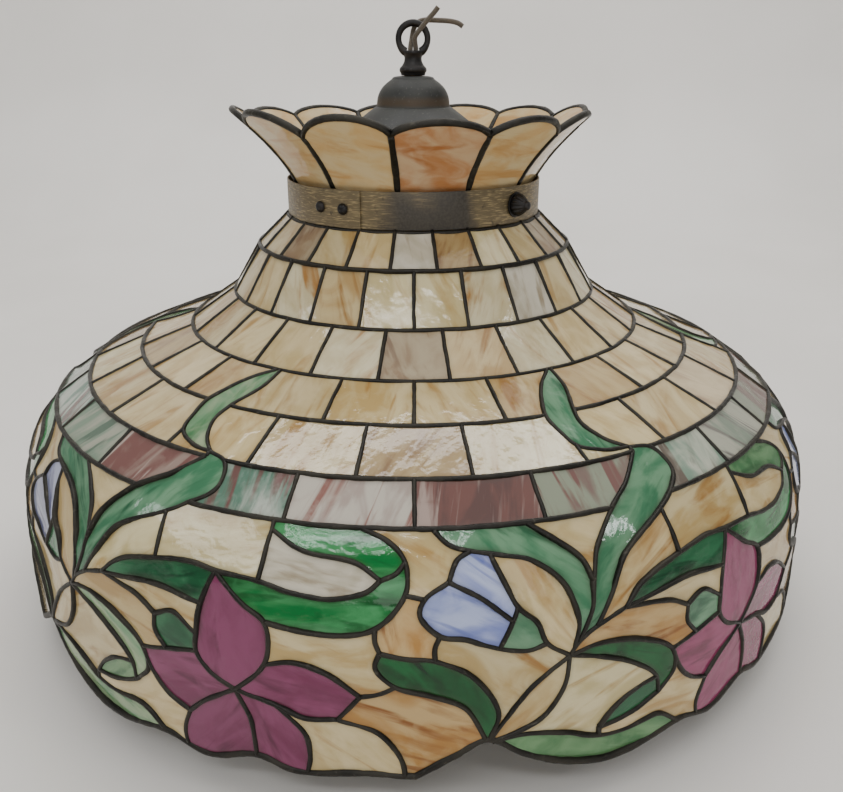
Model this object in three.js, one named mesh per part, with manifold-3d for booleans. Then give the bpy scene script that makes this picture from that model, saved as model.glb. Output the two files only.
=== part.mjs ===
// Leaded glass pool table lamp: a dome of glass courses and a floral skirt, a flared glass crown above a
// riveted neck band, and the hanging hardware and lamp cluster that it needs inside.
// Millimetres, +Z up. The origin is on the lamp's axis, at the level of the rim's lowest points.
import * as THREE from "three";
import { mergeVertices } from "three/addons/utils/BufferGeometryUtils.js";
import Module from "manifold-3d";

const wasm = await Module();
wasm.setup();

// Driving dimensions
const GAP = 0.3; // between pieces that touch
const GLASS = 3; // sheet glass
const CAME = 5; // width of a lead came along the shade
const CAME_PROUD = 0.8; // how far a came stands out of the glass, on each face
const REPEATS = 6; // of the floral pattern round the skirt
const ROUND = 24; // sides of a turned ring
const SOCKET_SIDES = 14; // sides of a socket's turned pieces
// Outer edge of each course, neck first, as [radius, height]: the last is the lower edge of the border.
const COURSES = [
  [95.2, 273],
  [118.2, 251],
  [138.6, 216.8],
  [172.5, 193.9],
  [210.5, 180.5],
  [248.9, 165],
  [273.8, 148.2],
];
const SKIRT = [[273.8, 148.2], [289, 129.3], [298.2, 108.6], [302, 86], [304, 50]];
const RIM_RADIUS = 304;
// Height of the scalloped rim at equal steps across one floral repeat.
const RIM_WAVE = [8, 22, 19, 8, 0, 0, 6.5, 3, 4.5, 9, 5.5, 8];
const RIM_CAME = 4.3; // height of the rim came

const BAND = { inner: 94, thick: 1.2, bottom: 273.2, top: 298.6, lapFrom: -48, lapTo: -21.8 };
const RIVETS = [-41.1, -29.5]; // azimuths, in degrees
const SCREWS = { front: 47.8, back: 227.8 };
const SCREW_HEIGHT = 286;
const SCREW_RADIUS = 2.4;
const SCREW_HOLE = 2.8;
const NECK_RING = { inner: 86.4, outer: 88.6, bottom: 262, top: 290 };
const EAR_TOP = 291; // upper edge of the crossbar's turned-up ends

const PETALS = 12;
const PETAL_PHASE = -6.6; // azimuth of one crown joint, in degrees
const CROWN = { base: 292, neckRadius: 91.5, neckHeight: 297.5 };
// The petals were cut and bent by hand: the height of each one's tip, and of its joint with the one before.
const PETAL_TIPS = [343.3, 344, 344.5, 345.5, 342.5, 342, 342, 342, 343, 346.5, 346.5, 345.8];
const PETAL_JOINTS = [335.8, 334.8, 333.5, 335, 336, 336, 336, 336, 336, 336.5, 336.5, 332.5];
const CROWN_RIB = 2.3; // radius of the lead between two petals
const CROWN_BEAD = 2.3; // radius of the lead along the petals' tops

const PIPE = { outer: 6.6, bore: 4.6, bottom: 192, top: 375.6 };
const LOOP = { centre: 394.6, ring: 10.5, bar: 2.15, wireway: 4.1, thread: 6.9, foot: 369.6 };
const LEAD_RADIUS = 1.8;
const LEAD_OFFSET = 2.05;
const CLUSTER = { radius: 38, top: 204, bottom: 172, armRadius: 5, reach: 68, armHeight: 187 };

// Geometry helpers

const radians = THREE.MathUtils.degToRad;

// A point at an azimuth in degrees: 0 faces -Y, and a growing azimuth goes towards +X.
function polar(radius, azimuth, height) {
  const a = radians(azimuth);
  return new THREE.Vector3(radius * Math.sin(a), -radius * Math.cos(a), height);
}

// One closed surface with shared vertices and its faces pointing out.
function closedSurface(geometry) {
  geometry.deleteAttribute("normal");
  geometry.deleteAttribute("uv");
  const merged = mergeVertices(geometry, 1e-4);
  const { array } = merged.attributes.position;
  const index = [...merged.index.array];
  const corner = (i) => new THREE.Vector3().fromArray(array, 3 * index[i]);
  let volume = 0;
  for (let i = 0; i < index.length; i += 3) volume += corner(i).dot(corner(i + 1).cross(corner(i + 2)));
  if (volume < 0) index.reverse();
  merged.setIndex(index);
  merged.computeVertexNormals();
  return merged;
}

function toSolid(geometry) {
  const { attributes, index } = closedSurface(geometry);
  return new wasm.Manifold(
    new wasm.Mesh({
      numProp: 3,
      vertProperties: new Float32Array(attributes.position.array),
      triVerts: new Uint32Array(index.array),
    }),
  );
}

function toGeometry(solid) {
  const { vertProperties, triVerts } = solid.getMesh();
  const geometry = new THREE.BufferGeometry();
  geometry.setAttribute("position", new THREE.BufferAttribute(vertProperties, 3));
  geometry.setIndex(new THREE.BufferAttribute(triVerts, 1));
  geometry.computeVertexNormals();
  return geometry;
}

const join = (...geometries) => toGeometry(geometries.map(toSolid).reduce((a, b) => a.add(b)));
const cut = (body, ...tools) => toGeometry(tools.map(toSolid).reduce((a, b) => a.subtract(b), toSolid(body)));

// A solid turned about +Z from [radius, height] points. A profile off the axis is closed on itself.
function turned(profile, sides = ROUND) {
  const onAxis = profile[0][0] === 0 && profile.at(-1)[0] === 0;
  const points = (onAxis ? profile : [...profile, profile[0]]).map(([r, h]) => new THREE.Vector2(r, h));
  return closedSurface(new THREE.LatheGeometry(points, sides).rotateX(Math.PI / 2));
}

// A sheet of even thickness on the inner side of a line of [radius, height] points, as a closed profile.
function sheet(line, thickness) {
  const inner = line.map(([r, h], i) => {
    const [r0, h0] = line[Math.max(i - 1, 0)];
    const [r1, h1] = line[Math.min(i + 1, line.length - 1)];
    const length = Math.hypot(r1 - r0, h1 - h0);
    return [r + (thickness * (h1 - h0)) / length, h - (thickness * (r1 - r0)) / length];
  });
  return [...line, ...inner.reverse()];
}

// A skin over a row of sections, each a loop of as many points. The ends are filled unless it is closed.
function loft(sections, closed = false) {
  const ring = sections[0].length;
  const index = [];
  const quad = (a, b, c, d) => index.push(a, b, c, a, c, d);
  const spans = closed ? sections.length : sections.length - 1;
  for (let i = 0; i < spans; i++) {
    const near = i * ring;
    const far = ((i + 1) % sections.length) * ring;
    for (let j = 0; j < ring; j++) {
      const k = (j + 1) % ring;
      quad(near + j, near + k, far + k, far + j);
    }
  }
  const end = (sections.length - 1) * ring;
  for (let j = 0; !closed && j < ring / 2 - 1; j++) {
    quad(j + 1, j, ring - 1 - j, ring - 2 - j);
    quad(end + j, end + j + 1, end + ring - 2 - j, end + ring - 1 - j);
  }
  const geometry = new THREE.BufferGeometry().setFromPoints(sections.flat());
  geometry.setIndex(index);
  return closedSurface(geometry);
}

function circle(radius, sides) {
  const turn = (i) => (2 * Math.PI * (i + 0.5)) / sides;
  const corner = (_, i) => new THREE.Vector2(radius * Math.cos(turn(i)), radius * Math.sin(turn(i)));
  return Array.from({ length: sides }, corner);
}

// A round bar, or a tube when it has a bore, along a smooth curve.
function bar(points, radius, { sides = 8, steps = points.length * 2, bore = 0 } = {}) {
  const shape = new THREE.Shape(circle(radius, sides));
  if (bore) shape.holes.push(new THREE.Path(circle(bore, sides)));
  const extrudePath = new THREE.CatmullRomCurve3(points, false, "centripetal");
  return closedSurface(new THREE.ExtrudeGeometry(shape, { steps, bevelEnabled: false, extrudePath }));
}

// A flat plate with a round hole, standing on the given height.
function drilledPlate(outline, hole, bottom, thickness) {
  const shape = new THREE.Shape(outline);
  shape.holes.push(new THREE.Path(circle(hole, 16)));
  const plate = new THREE.ExtrudeGeometry(shape, { depth: thickness, bevelEnabled: false });
  return closedSurface(plate.translate(0, 0, bottom));
}

// A radial pin through the neck at one azimuth, used as a drill.
function radialDrill(radius, from, to, azimuth, height) {
  const drill = new THREE.CylinderGeometry(radius, radius, to - from, 12);
  drill.translate(0, (from + to) / 2, 0).rotateZ(radians(azimuth) + Math.PI);
  return drill.translate(0, 0, height);
}

// A turned profile of [radius, distance from the lamp's axis] points, laid along +Y.
const turnedRadial = (profile, sides = 16) =>
  closedSurface(new THREE.LatheGeometry(profile.map(([r, d]) => new THREE.Vector2(r, d)), sides));

// Materials, one maker for each kind of stuff

const finish = (color, roughness, metalness = 0) => () =>
  new THREE.MeshStandardMaterial({ color, roughness, metalness });
const opalGlass = finish("#c8b28c", 0.15);
const borderGlass = finish("#8b8f78", 0.15);
const floralGlass = finish("#6f8f72", 0.15);
const amberGlass = finish("#c3a06e", 0.18);
const leadAlloy = finish("#3c3932", 0.55, 0.8);
const bandBrass = finish("#50483e", 0.5, 0.9);
const capBrass = finish("#4b4d48", 0.6, 0.7);
const blackIron = finish("#323032", 0.5, 0.8);
const plainBrass = finish("#9a7b45", 0.4, 0.9);
const barSteel = finish("#6a6a68", 0.45, 0.9);
const clothCover = finish("#6e6355", 0.95);

const lamp = new THREE.Group();

function add(name, geometry, material, parent = lamp) {
  const mesh = new THREE.Mesh(geometry, material());
  mesh.name = name;
  parent.add(mesh);
  return mesh;
}

// Shade

// A point on a straight run from one profile point to another, inset from either end.
function alongCourse([r0, h0], [r1, h1], inset) {
  const share = inset / Math.hypot(r1 - r0, h1 - h0);
  return [r0 + (r1 - r0) * share, h0 + (h1 - h0) * share];
}

// Glass of one course: the cames above and below it take a strip of its length.
function courseGlass(upper, lower) {
  const inset = CAME / 2 + 3 * GAP;
  const line = [alongCourse(lower, upper, inset), alongCourse(upper, lower, inset)];
  return turned(sheet(line, -GLASS));
}

// A came ring centred on one edge, square to the mean slope of the two courses that it joins.
function cameRing(before, edge, after) {
  const slope = Math.atan2(after[1] - before[1], after[0] - before[0]);
  const along = [(Math.cos(slope) * CAME) / 2, (Math.sin(slope) * CAME) / 2];
  const out = [-Math.sin(slope), Math.cos(slope)];
  const corner = (side, depth) => [
    edge[0] + side * along[0] + depth * out[0],
    edge[1] + side * along[1] + depth * out[1],
  ];
  const deep = -(GLASS + CAME_PROUD);
  return turned([corner(-1, CAME_PROUD), corner(1, CAME_PROUD), corner(1, deep), corner(-1, deep)]);
}

// The top came fills the step between the first course and the neck ring, under the band.
function neckCame() {
  const [radius, height] = COURSES[0];
  const inner = NECK_RING.outer + GAP;
  const top = height - GAP;
  return turned([
    [inner, top - 6],
    [radius - 1, top - 6],
    [radius + 1.5, top - 2.5],
    [radius, top],
    [inner, top],
  ]);
}

const SKIRT_STEPS = REPEATS * RIM_WAVE.length;
const rimHeight = (step) => RIM_WAVE[step % RIM_WAVE.length];
const stepAzimuth = (step) => (360 * step) / SKIRT_STEPS;

// The skirt's glass follows the profile down and stops above the scalloped rim came.
function skirtGlass() {
  const line = [alongCourse(SKIRT[0], SKIRT[1], CAME / 2 + 4 * GAP), ...SKIRT.slice(1)];
  const sections = Array.from({ length: SKIRT_STEPS }, (_, step) => {
    const foot = rimHeight(step) + RIM_CAME + GAP;
    const profile = sheet([...line, [RIM_RADIUS, foot]], GLASS);
    return profile.map(([r, h]) => polar(r, stepAzimuth(step), Math.max(h, foot)));
  });
  return loft(sections, true);
}

// The rim came is flat underneath, and its lowest stretches are what the lamp stands on.
function rimCame() {
  const inner = RIM_RADIUS - GLASS - CAME_PROUD;
  const outer = RIM_RADIUS + CAME_PROUD;
  const sections = Array.from({ length: SKIRT_STEPS }, (_, step) => {
    const foot = rimHeight(step);
    const top = foot + RIM_CAME;
    const corners = [[inner, foot], [outer, foot], [outer, top], [inner, top]];
    return corners.map(([r, h]) => polar(r, stepAzimuth(step), h));
  });
  return loft(sections, true);
}

function addShade() {
  add("neck_came", neckCame(), leadAlloy);
  const last = COURSES.length - 1;
  for (let i = 0; i < last; i++) {
    const upper = i === 0 ? alongCourse(COURSES[0], COURSES[1], 2) : COURSES[i];
    const glass = courseGlass(upper, COURSES[i + 1]);
    if (i === last - 1) add("border_glass", glass, borderGlass);
    else add(`glass_course_${i + 1}`, glass, opalGlass);
    const after = i + 2 > last ? SKIRT[1] : COURSES[i + 2];
    add(`came_ring_${i + 1}`, cameRing(COURSES[i], COURSES[i + 1], after), leadAlloy);
  }
  add("skirt_glass", skirtGlass(), floralGlass);
  add("rim_came", rimCame(), leadAlloy);
}

// Crown

// Radius and slope of the crown's outer face: it leaves the neck steeply and flares towards the tips.
function crownFlare(height) {
  const t = (height - CROWN.neckHeight) / 50;
  return { radius: CROWN.neckRadius + 26 * t + 18.8 * t * t, slope: (26 + 37.6 * t) / 50 };
}

// A point in the crown's glass: depth 0 is the middle of the sheet, positive is outwards. Each petal is
// between a flat panel and a round one, so its middle is a little nearer the axis than its joints.
function crownPoint(petal, across, height, depth) {
  const { radius, slope } = crownFlare(height);
  const half = 180 / PETALS;
  const swell = Math.sqrt(Math.cos(radians(half)) / Math.cos(radians(across * half)));
  const lean = Math.hypot(1, slope);
  const offset = depth - GLASS / 2;
  const azimuth = PETAL_PHASE + (petal + 0.5) * 2 * half + across * half;
  return polar(radius * swell + offset / lean, azimuth, height - (offset * slope) / lean);
}

// Height of a petal's top edge: an arch over the line between its two joints.
function scallop(petal, across) {
  const near = PETAL_JOINTS[petal];
  const far = PETAL_JOINTS[(petal + 1) % PETALS];
  const arch = (1 - across * across) ** 0.75;
  return near + ((far - near) * (across + 1)) / 2 + (PETAL_TIPS[petal] - (near + far) / 2) * arch;
}

function crownPetal(petal) {
  const columns = 4;
  const rows = 3;
  const sections = Array.from({ length: columns + 1 }, (_, column) => {
    const side = -1 + (2 * column) / columns;
    const top = scallop(petal, side * 0.93) - 3.7;
    const at = (row, depth) => {
      const height = CROWN.base + ((top - CROWN.base) * row) / rows;
      const halfWidth = crownFlare(height).radius * radians(180 / PETALS);
      return crownPoint(petal, side * (1 - (CROWN_RIB + 3 * GAP) / halfWidth), height, depth);
    };
    const up = Array.from({ length: rows + 1 }, (_, row) => at(row, GLASS / 2));
    const down = Array.from({ length: rows + 1 }, (_, row) => at(rows - row, -GLASS / 2));
    return [...up, ...down];
  });
  return loft(sections);
}

// Round sections across a line of points, in the upright plane that holds the axis.
function beadSections(points, radius, sides) {
  const up = new THREE.Vector3(0, 0, 1);
  return points.map((p) => {
    const out = new THREE.Vector3(p.x, p.y, 0).normalize();
    return circle(radius, sides).map((c) => p.clone().addScaledVector(out, c.x).addScaledVector(up, c.y));
  });
}

// All the crown's lead in one piece: the ring behind the band, a rib at each joint and the top bead.
function crownLead() {
  const top = CROWN.base - GAP;
  const step = NECK_RING.top + GAP;
  const ring = turned([
    [89, 277],
    [93.4, 277],
    [93.4, top],
    [NECK_RING.inner, top],
    [NECK_RING.inner, step],
    [89, step],
  ]);
  const perPetal = 6;
  const crest = Array.from({ length: PETALS * perPetal }, (_, i) => {
    const petal = Math.floor(i / perPetal);
    const across = -1 + (2 * (i % perPetal)) / perPetal;
    return crownPoint(petal, across, scallop(petal, across), 0);
  });
  const bead = loft(beadSections(crest, CROWN_BEAD, 6), true);
  const ribs = Array.from({ length: PETALS }, (_, petal) => {
    const heights = [CROWN.base - 1, 305, 319, PETAL_JOINTS[petal]];
    return bar(heights.map((h) => crownPoint(petal, -1, h, 0)), CROWN_RIB, { sides: 6, steps: 4 });
  });
  const holes = Object.values(SCREWS).map((a) => radialDrill(SCREW_HOLE, 87, 96, a, SCREW_HEIGHT));
  return cut(join(ring, bead, ...ribs), ...holes);
}

function addCrown() {
  for (let petal = 0; petal < PETALS; petal++)
    add(`crown_petal_${String(petal + 1).padStart(2, "0")}`, crownPetal(petal), amberGlass);
  add("crown_lead", crownLead(), leadAlloy);
}

// Neck

// A strip bent into a ring: its outer end climbs over its inner end and is riveted there.
function neckBand() {
  const turn = 360 + BAND.lapTo - BAND.lapFrom;
  const steps = 48;
  const lift = BAND.thick + GAP;
  const climb = [360 - 24, 360 - 2]; // degrees from the inner end where the strip rises
  const sections = Array.from({ length: steps + 1 }, (_, i) => {
    const run = (turn * i) / steps;
    const raised = lift * THREE.MathUtils.smoothstep(run, ...climb);
    const inner = BAND.inner + raised;
    const outer = inner + BAND.thick;
    const corners = [[inner, BAND.bottom], [outer, BAND.bottom], [outer, BAND.top], [inner, BAND.top]];
    return corners.map(([r, h]) => polar(r, BAND.lapFrom + run, h));
  });
  const drills = [
    ...Object.values(SCREWS).map((a) => radialDrill(SCREW_HOLE, 92, 100, a, SCREW_HEIGHT)),
    ...RIVETS.map((a) => radialDrill(1.9, 92, 100, a, SCREW_HEIGHT)),
  ];
  return cut(loft(sections), ...drills);
}

function neckRing() {
  const { inner, outer, bottom, top } = NECK_RING;
  const ring = turned([[inner, bottom], [outer, bottom], [outer, top], [inner, top]]);
  return cut(ring, ...Object.values(SCREWS).map((a) => radialDrill(SCREW_HOLE, 84, 92, a, SCREW_HEIGHT)));
}

const faceAzimuth = (object, azimuth) => {
  object.rotation.z = radians(azimuth) + Math.PI;
  object.position.z = SCREW_HEIGHT;
};

function addNeck() {
  add("neck_ring", neckRing(), plainBrass);
  add("neck_band", neckBand(), bandBrass);
  RIVETS.forEach((azimuth, i) => {
    const seat = BAND.inner + 2 * BAND.thick + 2 * GAP;
    const head = [
      [0, BAND.inner],
      [1.6, BAND.inner],
      [1.6, seat],
      [3.8, seat],
      [3.4, seat + 1.7],
      [1.9, seat + 2.6],
      [0, seat + 2.9],
    ];
    faceAzimuth(add(`band_rivet_${i + 1}`, turnedRadial(head), blackIron), azimuth);
  });
  Object.entries(SCREWS).forEach(([side, azimuth]) => {
    const washer = [
      [SCREW_HOLE, 95.6],
      [8.7, 95.6],
      [8.7, 96.8],
      [SCREW_HOLE, 96.8],
      [SCREW_HOLE, 95.6],
    ];
    faceAzimuth(add(`screw_washer_${side}`, turnedRadial(washer), blackIron), azimuth);
    const knob = [
      [0, 78],
      [SCREW_RADIUS, 78],
      [SCREW_RADIUS, 97.1],
      [7.7, 97.1],
      [7.9, 99],
      [6.4, 102],
      [4.2, 104.6],
      [3.1, 105.2],
      [2.9, 107],
      [0, 107.8],
    ];
    faceAzimuth(add(`thumb_screw_${side}`, turnedRadial(knob), blackIron), azimuth);
  });
}

// Hanging hardware

// A flat bar across the neck with its ends turned up: the two thumb screws go through them.
function crossbar() {
  const half = 12.5;
  const reach = 84.4;
  const thick = 4;
  const bottom = 274;
  const corners = [[-reach, -half], [reach, -half], [reach, half], [-reach, half]];
  const plan = corners.map(([x, y]) => new THREE.Vector2(x, y));
  const strap = drilledPlate(plan, PIPE.outer + GAP, bottom, thick);
  const ear = (side) => {
    const block = new THREE.BoxGeometry(thick, 2 * half, EAR_TOP - bottom);
    return block.translate(side * (reach - thick / 2), 0, (EAR_TOP + bottom) / 2);
  };
  const drill = new THREE.CylinderGeometry(SCREW_HOLE, SCREW_HOLE, 2 * reach + 10, 12).rotateZ(Math.PI / 2);
  const body = cut(join(strap, ear(-1), ear(1)), drill.translate(0, 0, SCREW_HEIGHT));
  return body.rotateZ(radians(SCREWS.front - 90));
}

// Spun cap: a domed top on a cone, with a straight lip that stands on the crossbar's ears.
function cap() {
  const top = LOOP.foot - GAP;
  const line = [
    [PIPE.outer + GAP, top],
    [10.6, top],
    [15.4, 367.2],
    [20, 364],
    [23.2, 360.8],
    [25.9, 355.6],
    [27, 348.8],
    [29, 347.2],
    [37, 341.4],
    [50, 331.2],
    [76, 307.5],
    [83.2, 300],
    [83.2, EAR_TOP + GAP],
  ];
  return turned(sheet(line, 1.2));
}

// Cast loop: an upright ring on a waisted foot, bored so that the leads come up inside it.
function hangingLoop() {
  const { foot, thread, wireway, centre, ring, bar: thickness } = LOOP;
  const shoulder = PIPE.top + GAP;
  const profile = [
    [thread, foot],
    [8.7, foot],
    [9.8, 372.6],
    [9.8, 374.6],
    [7.6, 377.6],
    [6.2, 380.4],
    [6.5, 383],
    [7.4, 385.6],
    [5.6, 386.6],
    [wireway, 386.4],
    [wireway, shoulder],
    [thread, shoulder],
  ];
  const stem = turned(profile, 16);
  const eye = new THREE.TorusGeometry(ring, thickness, 8, 20).rotateX(Math.PI / 2).translate(0, 0, centre);
  const bore = new THREE.CylinderGeometry(wireway, wireway, 14, 16).rotateX(Math.PI / 2);
  return cut(join(stem, eye), bore.translate(0, 0, 380.5));
}

function stemPipe() {
  const { outer, bore, bottom, top } = PIPE;
  return turned([[bore, bottom], [outer, bottom], [outer, top], [bore, top]], 16);
}

const hexNut = (radius, bottom, thickness) =>
  drilledPlate(circle(radius, 6), PIPE.outer + GAP, bottom, thickness);

// Two cut lengths of cloth-covered wire. Each comes up the pipe and out of the loop's foot.
const LEADS = {
  a: [
    [1.95, 0, 386],
    [1.95, 0, 387.2],
    [1.9, -0.4, 388.6],
    [1.7, -1, 390.2],
    [1.4, -1.7, 392.2],
    [1.2, -2.6, 394.6],
    [1.9, -3.4, 396.6],
    [3.3, -4.1, 398.4],
    [4.9, -4.5, 400.4],
    [6.7, -4.8, 402.6],
    [8.6, -5, 404.8],
    [10.6, -5.2, 407],
    [12.5, -5.3, 409],
    [14.5, -5.5, 411],
    [16.2, -5.7, 413],
    [17.9, -6, 415.1],
  ],
  b: [
    [-1.95, 0, 386],
    [-1.95, 0.1, 387.6],
    [-1.7, 0.9, 390],
    [-1, 2.4, 393.6],
    [-0.4, 3.7, 397.4],
    [0.3, 4.4, 400.6],
    [2, 4.7, 403.9],
    [4.7, 4.7, 406.2],
    [8.3, 4.6, 407.1],
    [13, 4.4, 407.1],
    [18, 4.2, 406.9],
    [24, 4, 406.6],
    [29.5, 4, 405.9],
    [33.2, 4, 404.7],
    [36, 4, 402.8],
  ],
};

function addHangingHardware() {
  add("crossbar", crossbar(), barSteel);
  add("crossbar_nut", hexNut(12, 268, 5.7), plainBrass);
  add("cap", cap(), capBrass);
  add("hanging_loop", hangingLoop(), blackIron);
  add("stem_pipe", stemPipe(), plainBrass);
  Object.entries(LEADS).forEach(([name, route]) => {
    const points = route.map((p) => new THREE.Vector3(...p));
    add(`lead_${name}`, bar(points, LEAD_RADIUS, { steps: points.length + 2 }), clothCover);
    const side = Math.sign(points[0].x) * LEAD_OFFSET;
    const hidden = [points[0].z - 2 * GAP, 300, 196].map((h) => new THREE.Vector3(side, 0, h));
    add(`lead_${name}_hidden`, bar(hidden, LEAD_RADIUS, { steps: 4 }), clothCover);
  });
}

// Lamp cluster

function clusterBody() {
  const { radius, top, bottom, armHeight } = CLUSTER;
  const line = [
    [PIPE.outer + GAP, top],
    [18, top - 0.5],
    [30, top - 4],
    [36.5, top - 10],
    [radius, top - 16],
    [radius, bottom],
  ];
  const shell = turned(sheet(line, 1.5), 16);
  return cut(shell, ...armAzimuths().map((a) => radialDrill(3, 30, 45, a, armHeight)));
}

function clusterCover() {
  const { radius, bottom } = CLUSTER;
  const height = bottom - GAP;
  return turned([
    [0, height - 16],
    [3, height - 15],
    [4, height - 12],
    [2.5, height - 9.5],
    [10, height - 7],
    [26, height - 4],
    [radius + 1, height - 1.5],
    [radius + 1, height],
    [0, height],
  ]);
}

const armAzimuths = () => [0, 120, 240].map((a) => SCREWS.front + 60 + a);

function socketArm() {
  const { radius, reach, armHeight, armRadius } = CLUSTER;
  const route = [[radius + 2 * GAP, 0], [reach - 14, 0], [reach - 4, -4], [reach, -14], [reach, -18]];
  const points = route.map(([out, down]) => new THREE.Vector3(0, out, armHeight + down));
  return bar(points, armRadius, { sides: 8, steps: 6, bore: 3.2 });
}

// Outer shell of a socket, open at the mouth, with a hole in its cap for the wires.
function socketShell() {
  const top = CLUSTER.armHeight - 18 - GAP;
  const line = [[3.5, top], [9, top - 1], [15.5, top - 8], [18.5, top - 13], [18.5, top - 58]];
  return turned(sheet(line, 1.2), SOCKET_SIDES);
}

// Insulated cup inside the shell, with a floor behind the lamp's contact.
function socketLiner() {
  const top = CLUSTER.armHeight - 18 - 18;
  const cup = [[0, top], [16.6, top], [16.6, top - 36], [14.8, top - 36], [14.8, top - 3], [0, top - 3]];
  return turned(cup, SOCKET_SIDES);
}

function addCluster() {
  add("cluster_body", clusterBody(), plainBrass);
  add("cluster_nut", hexNut(11, 196, 5), plainBrass);
  add("cluster_cover", clusterCover(), plainBrass);
  armAzimuths().forEach((azimuth, i) => {
    const branch = new THREE.Group();
    branch.rotation.z = radians(azimuth) + Math.PI;
    lamp.add(branch);
    add(`socket_arm_${i + 1}`, socketArm(), plainBrass, branch);
    add(`socket_shell_${i + 1}`, socketShell(), plainBrass, branch).position.y = CLUSTER.reach;
    add(`socket_liner_${i + 1}`, socketLiner(), finish("#e6ddc8", 0.4), branch).position.y = CLUSTER.reach;
  });
}

addShade();
addCrown();
addNeck();
addHangingHardware();
addCluster();

export default lamp;
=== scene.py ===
import math
import random

import bmesh
import bpy
from mathutils import Matrix, Vector, noise
from mathutils.geometry import delaunay_2d_cdt


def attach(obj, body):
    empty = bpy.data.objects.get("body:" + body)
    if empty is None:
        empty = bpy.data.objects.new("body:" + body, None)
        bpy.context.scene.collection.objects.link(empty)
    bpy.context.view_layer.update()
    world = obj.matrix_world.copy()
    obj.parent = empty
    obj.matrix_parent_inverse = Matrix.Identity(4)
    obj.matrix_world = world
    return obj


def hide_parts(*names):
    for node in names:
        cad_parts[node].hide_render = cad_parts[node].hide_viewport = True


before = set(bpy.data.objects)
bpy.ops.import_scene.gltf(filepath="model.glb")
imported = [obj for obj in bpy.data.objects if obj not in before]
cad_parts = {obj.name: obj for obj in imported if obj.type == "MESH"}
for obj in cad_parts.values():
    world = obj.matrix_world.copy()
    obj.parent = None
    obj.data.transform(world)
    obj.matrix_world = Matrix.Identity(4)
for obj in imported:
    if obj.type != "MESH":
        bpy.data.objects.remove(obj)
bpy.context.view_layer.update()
MM = 0.001

# Driving dimensions, in millimetres, the same as in the CAD source.
# The shade's outer face as (radius, height): the corners between courses, then the skirt.
COURSES = [
    (95.2, 273), (118.2, 251), (138.6, 216.8), (172.5, 193.9), (210.5, 180.5), (248.9, 165), (273.8, 148.2),
]
SKIRT = [(273.8, 148.2), (289, 129.3), (298.2, 108.6), (302, 86), (304, 50), (304, 0)]
GLASS = 3.0
BAND = {"inner": 94, "thick": 1.2, "bottom": 273.2, "top": 298.6, "lap_from": -48, "lap_to": -21.8}
RIVETS = (-41.1, -29.5)
SCREWS = {"front": 47.8, "back": 227.8}
SCREW_HEIGHT = 286
PETALS = 12
PETAL_PHASE = -6.6
# The crown's radius grows from the neck by lean and curl, the first and second order of its flare over reach.
CROWN = {"base": 292, "neck_radius": 91.5, "neck_height": 297.5, "reach": 50, "lean": 26, "curl": 18.8}
# Heights of the petals' tips, and of each petal's joint with the petal before it.
PETAL_TIPS = (343.3, 344, 344.5, 345.5, 342.5, 342, 342, 342, 343, 346.5, 346.5, 345.8)
PETAL_JOINTS = (335.8, 334.8, 333.5, 335, 336, 336, 336, 336, 336, 336.5, 336.5, 332.5)
LOOP = {"centre": 394.6, "ring": 10.5, "bar": 2.2, "bore": 4.1}
CLUSTER = {"reach": 68, "arm_height": 187, "first_arm": SCREWS["front"] + 60}
LEAD_DIAMETER = 3.6
LEAD_ROUTES = {
    "lead_a": [
        (1.95, 0, 386), (1.95, 0, 387.2), (1.9, -0.4, 388.6), (1.7, -1, 390.2), (1.4, -1.7, 392.2),
        (1.2, -2.6, 394.6), (1.9, -3.4, 396.6), (3.3, -4.1, 398.4), (4.9, -4.5, 400.4), (6.7, -4.8, 402.6),
        (8.6, -5, 404.8), (10.6, -5.2, 407), (12.5, -5.3, 409), (14.5, -5.5, 411), (16.2, -5.7, 413),
        (17.9, -6, 415.1),
    ],
    "lead_b": [
        (-1.95, 0, 386), (-1.95, 0.1, 387.6), (-1.7, 0.9, 390), (-1, 2.4, 393.6), (-0.4, 3.7, 397.4),
        (0.3, 4.4, 400.6), (2, 4.7, 403.9), (4.7, 4.7, 406.2), (8.3, 4.6, 407.1), (13, 4.4, 407.1),
        (18, 4.2, 406.9), (24, 4, 406.6), (29.5, 4, 405.9), (33.2, 4, 404.7), (36, 4, 402.8),
    ],
}

# The floral pattern. One sector of 60 degrees is drawn as smooth lines of (azimuth, distance down the
# profile) and repeats six times round the shade.
SECTOR = 60
REPEATS = 360 // SECTOR
RING_LINES = [0]
for (radius, height), (next_radius, next_height) in zip(COURSES, COURSES[1:]):
    RING_LINES.append(RING_LINES[-1] + math.hypot(next_radius - radius, next_height - height))
COURSE_TOP, BORDER_TOP, SKIRT_TOP = RING_LINES[4:]
TILE = SECTOR / 4
# Tile joints that a leaf or a tendril takes the place of, by course.
MISSING_JOINTS = {3: [30], 4: [22.5], 5: [30]}
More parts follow.
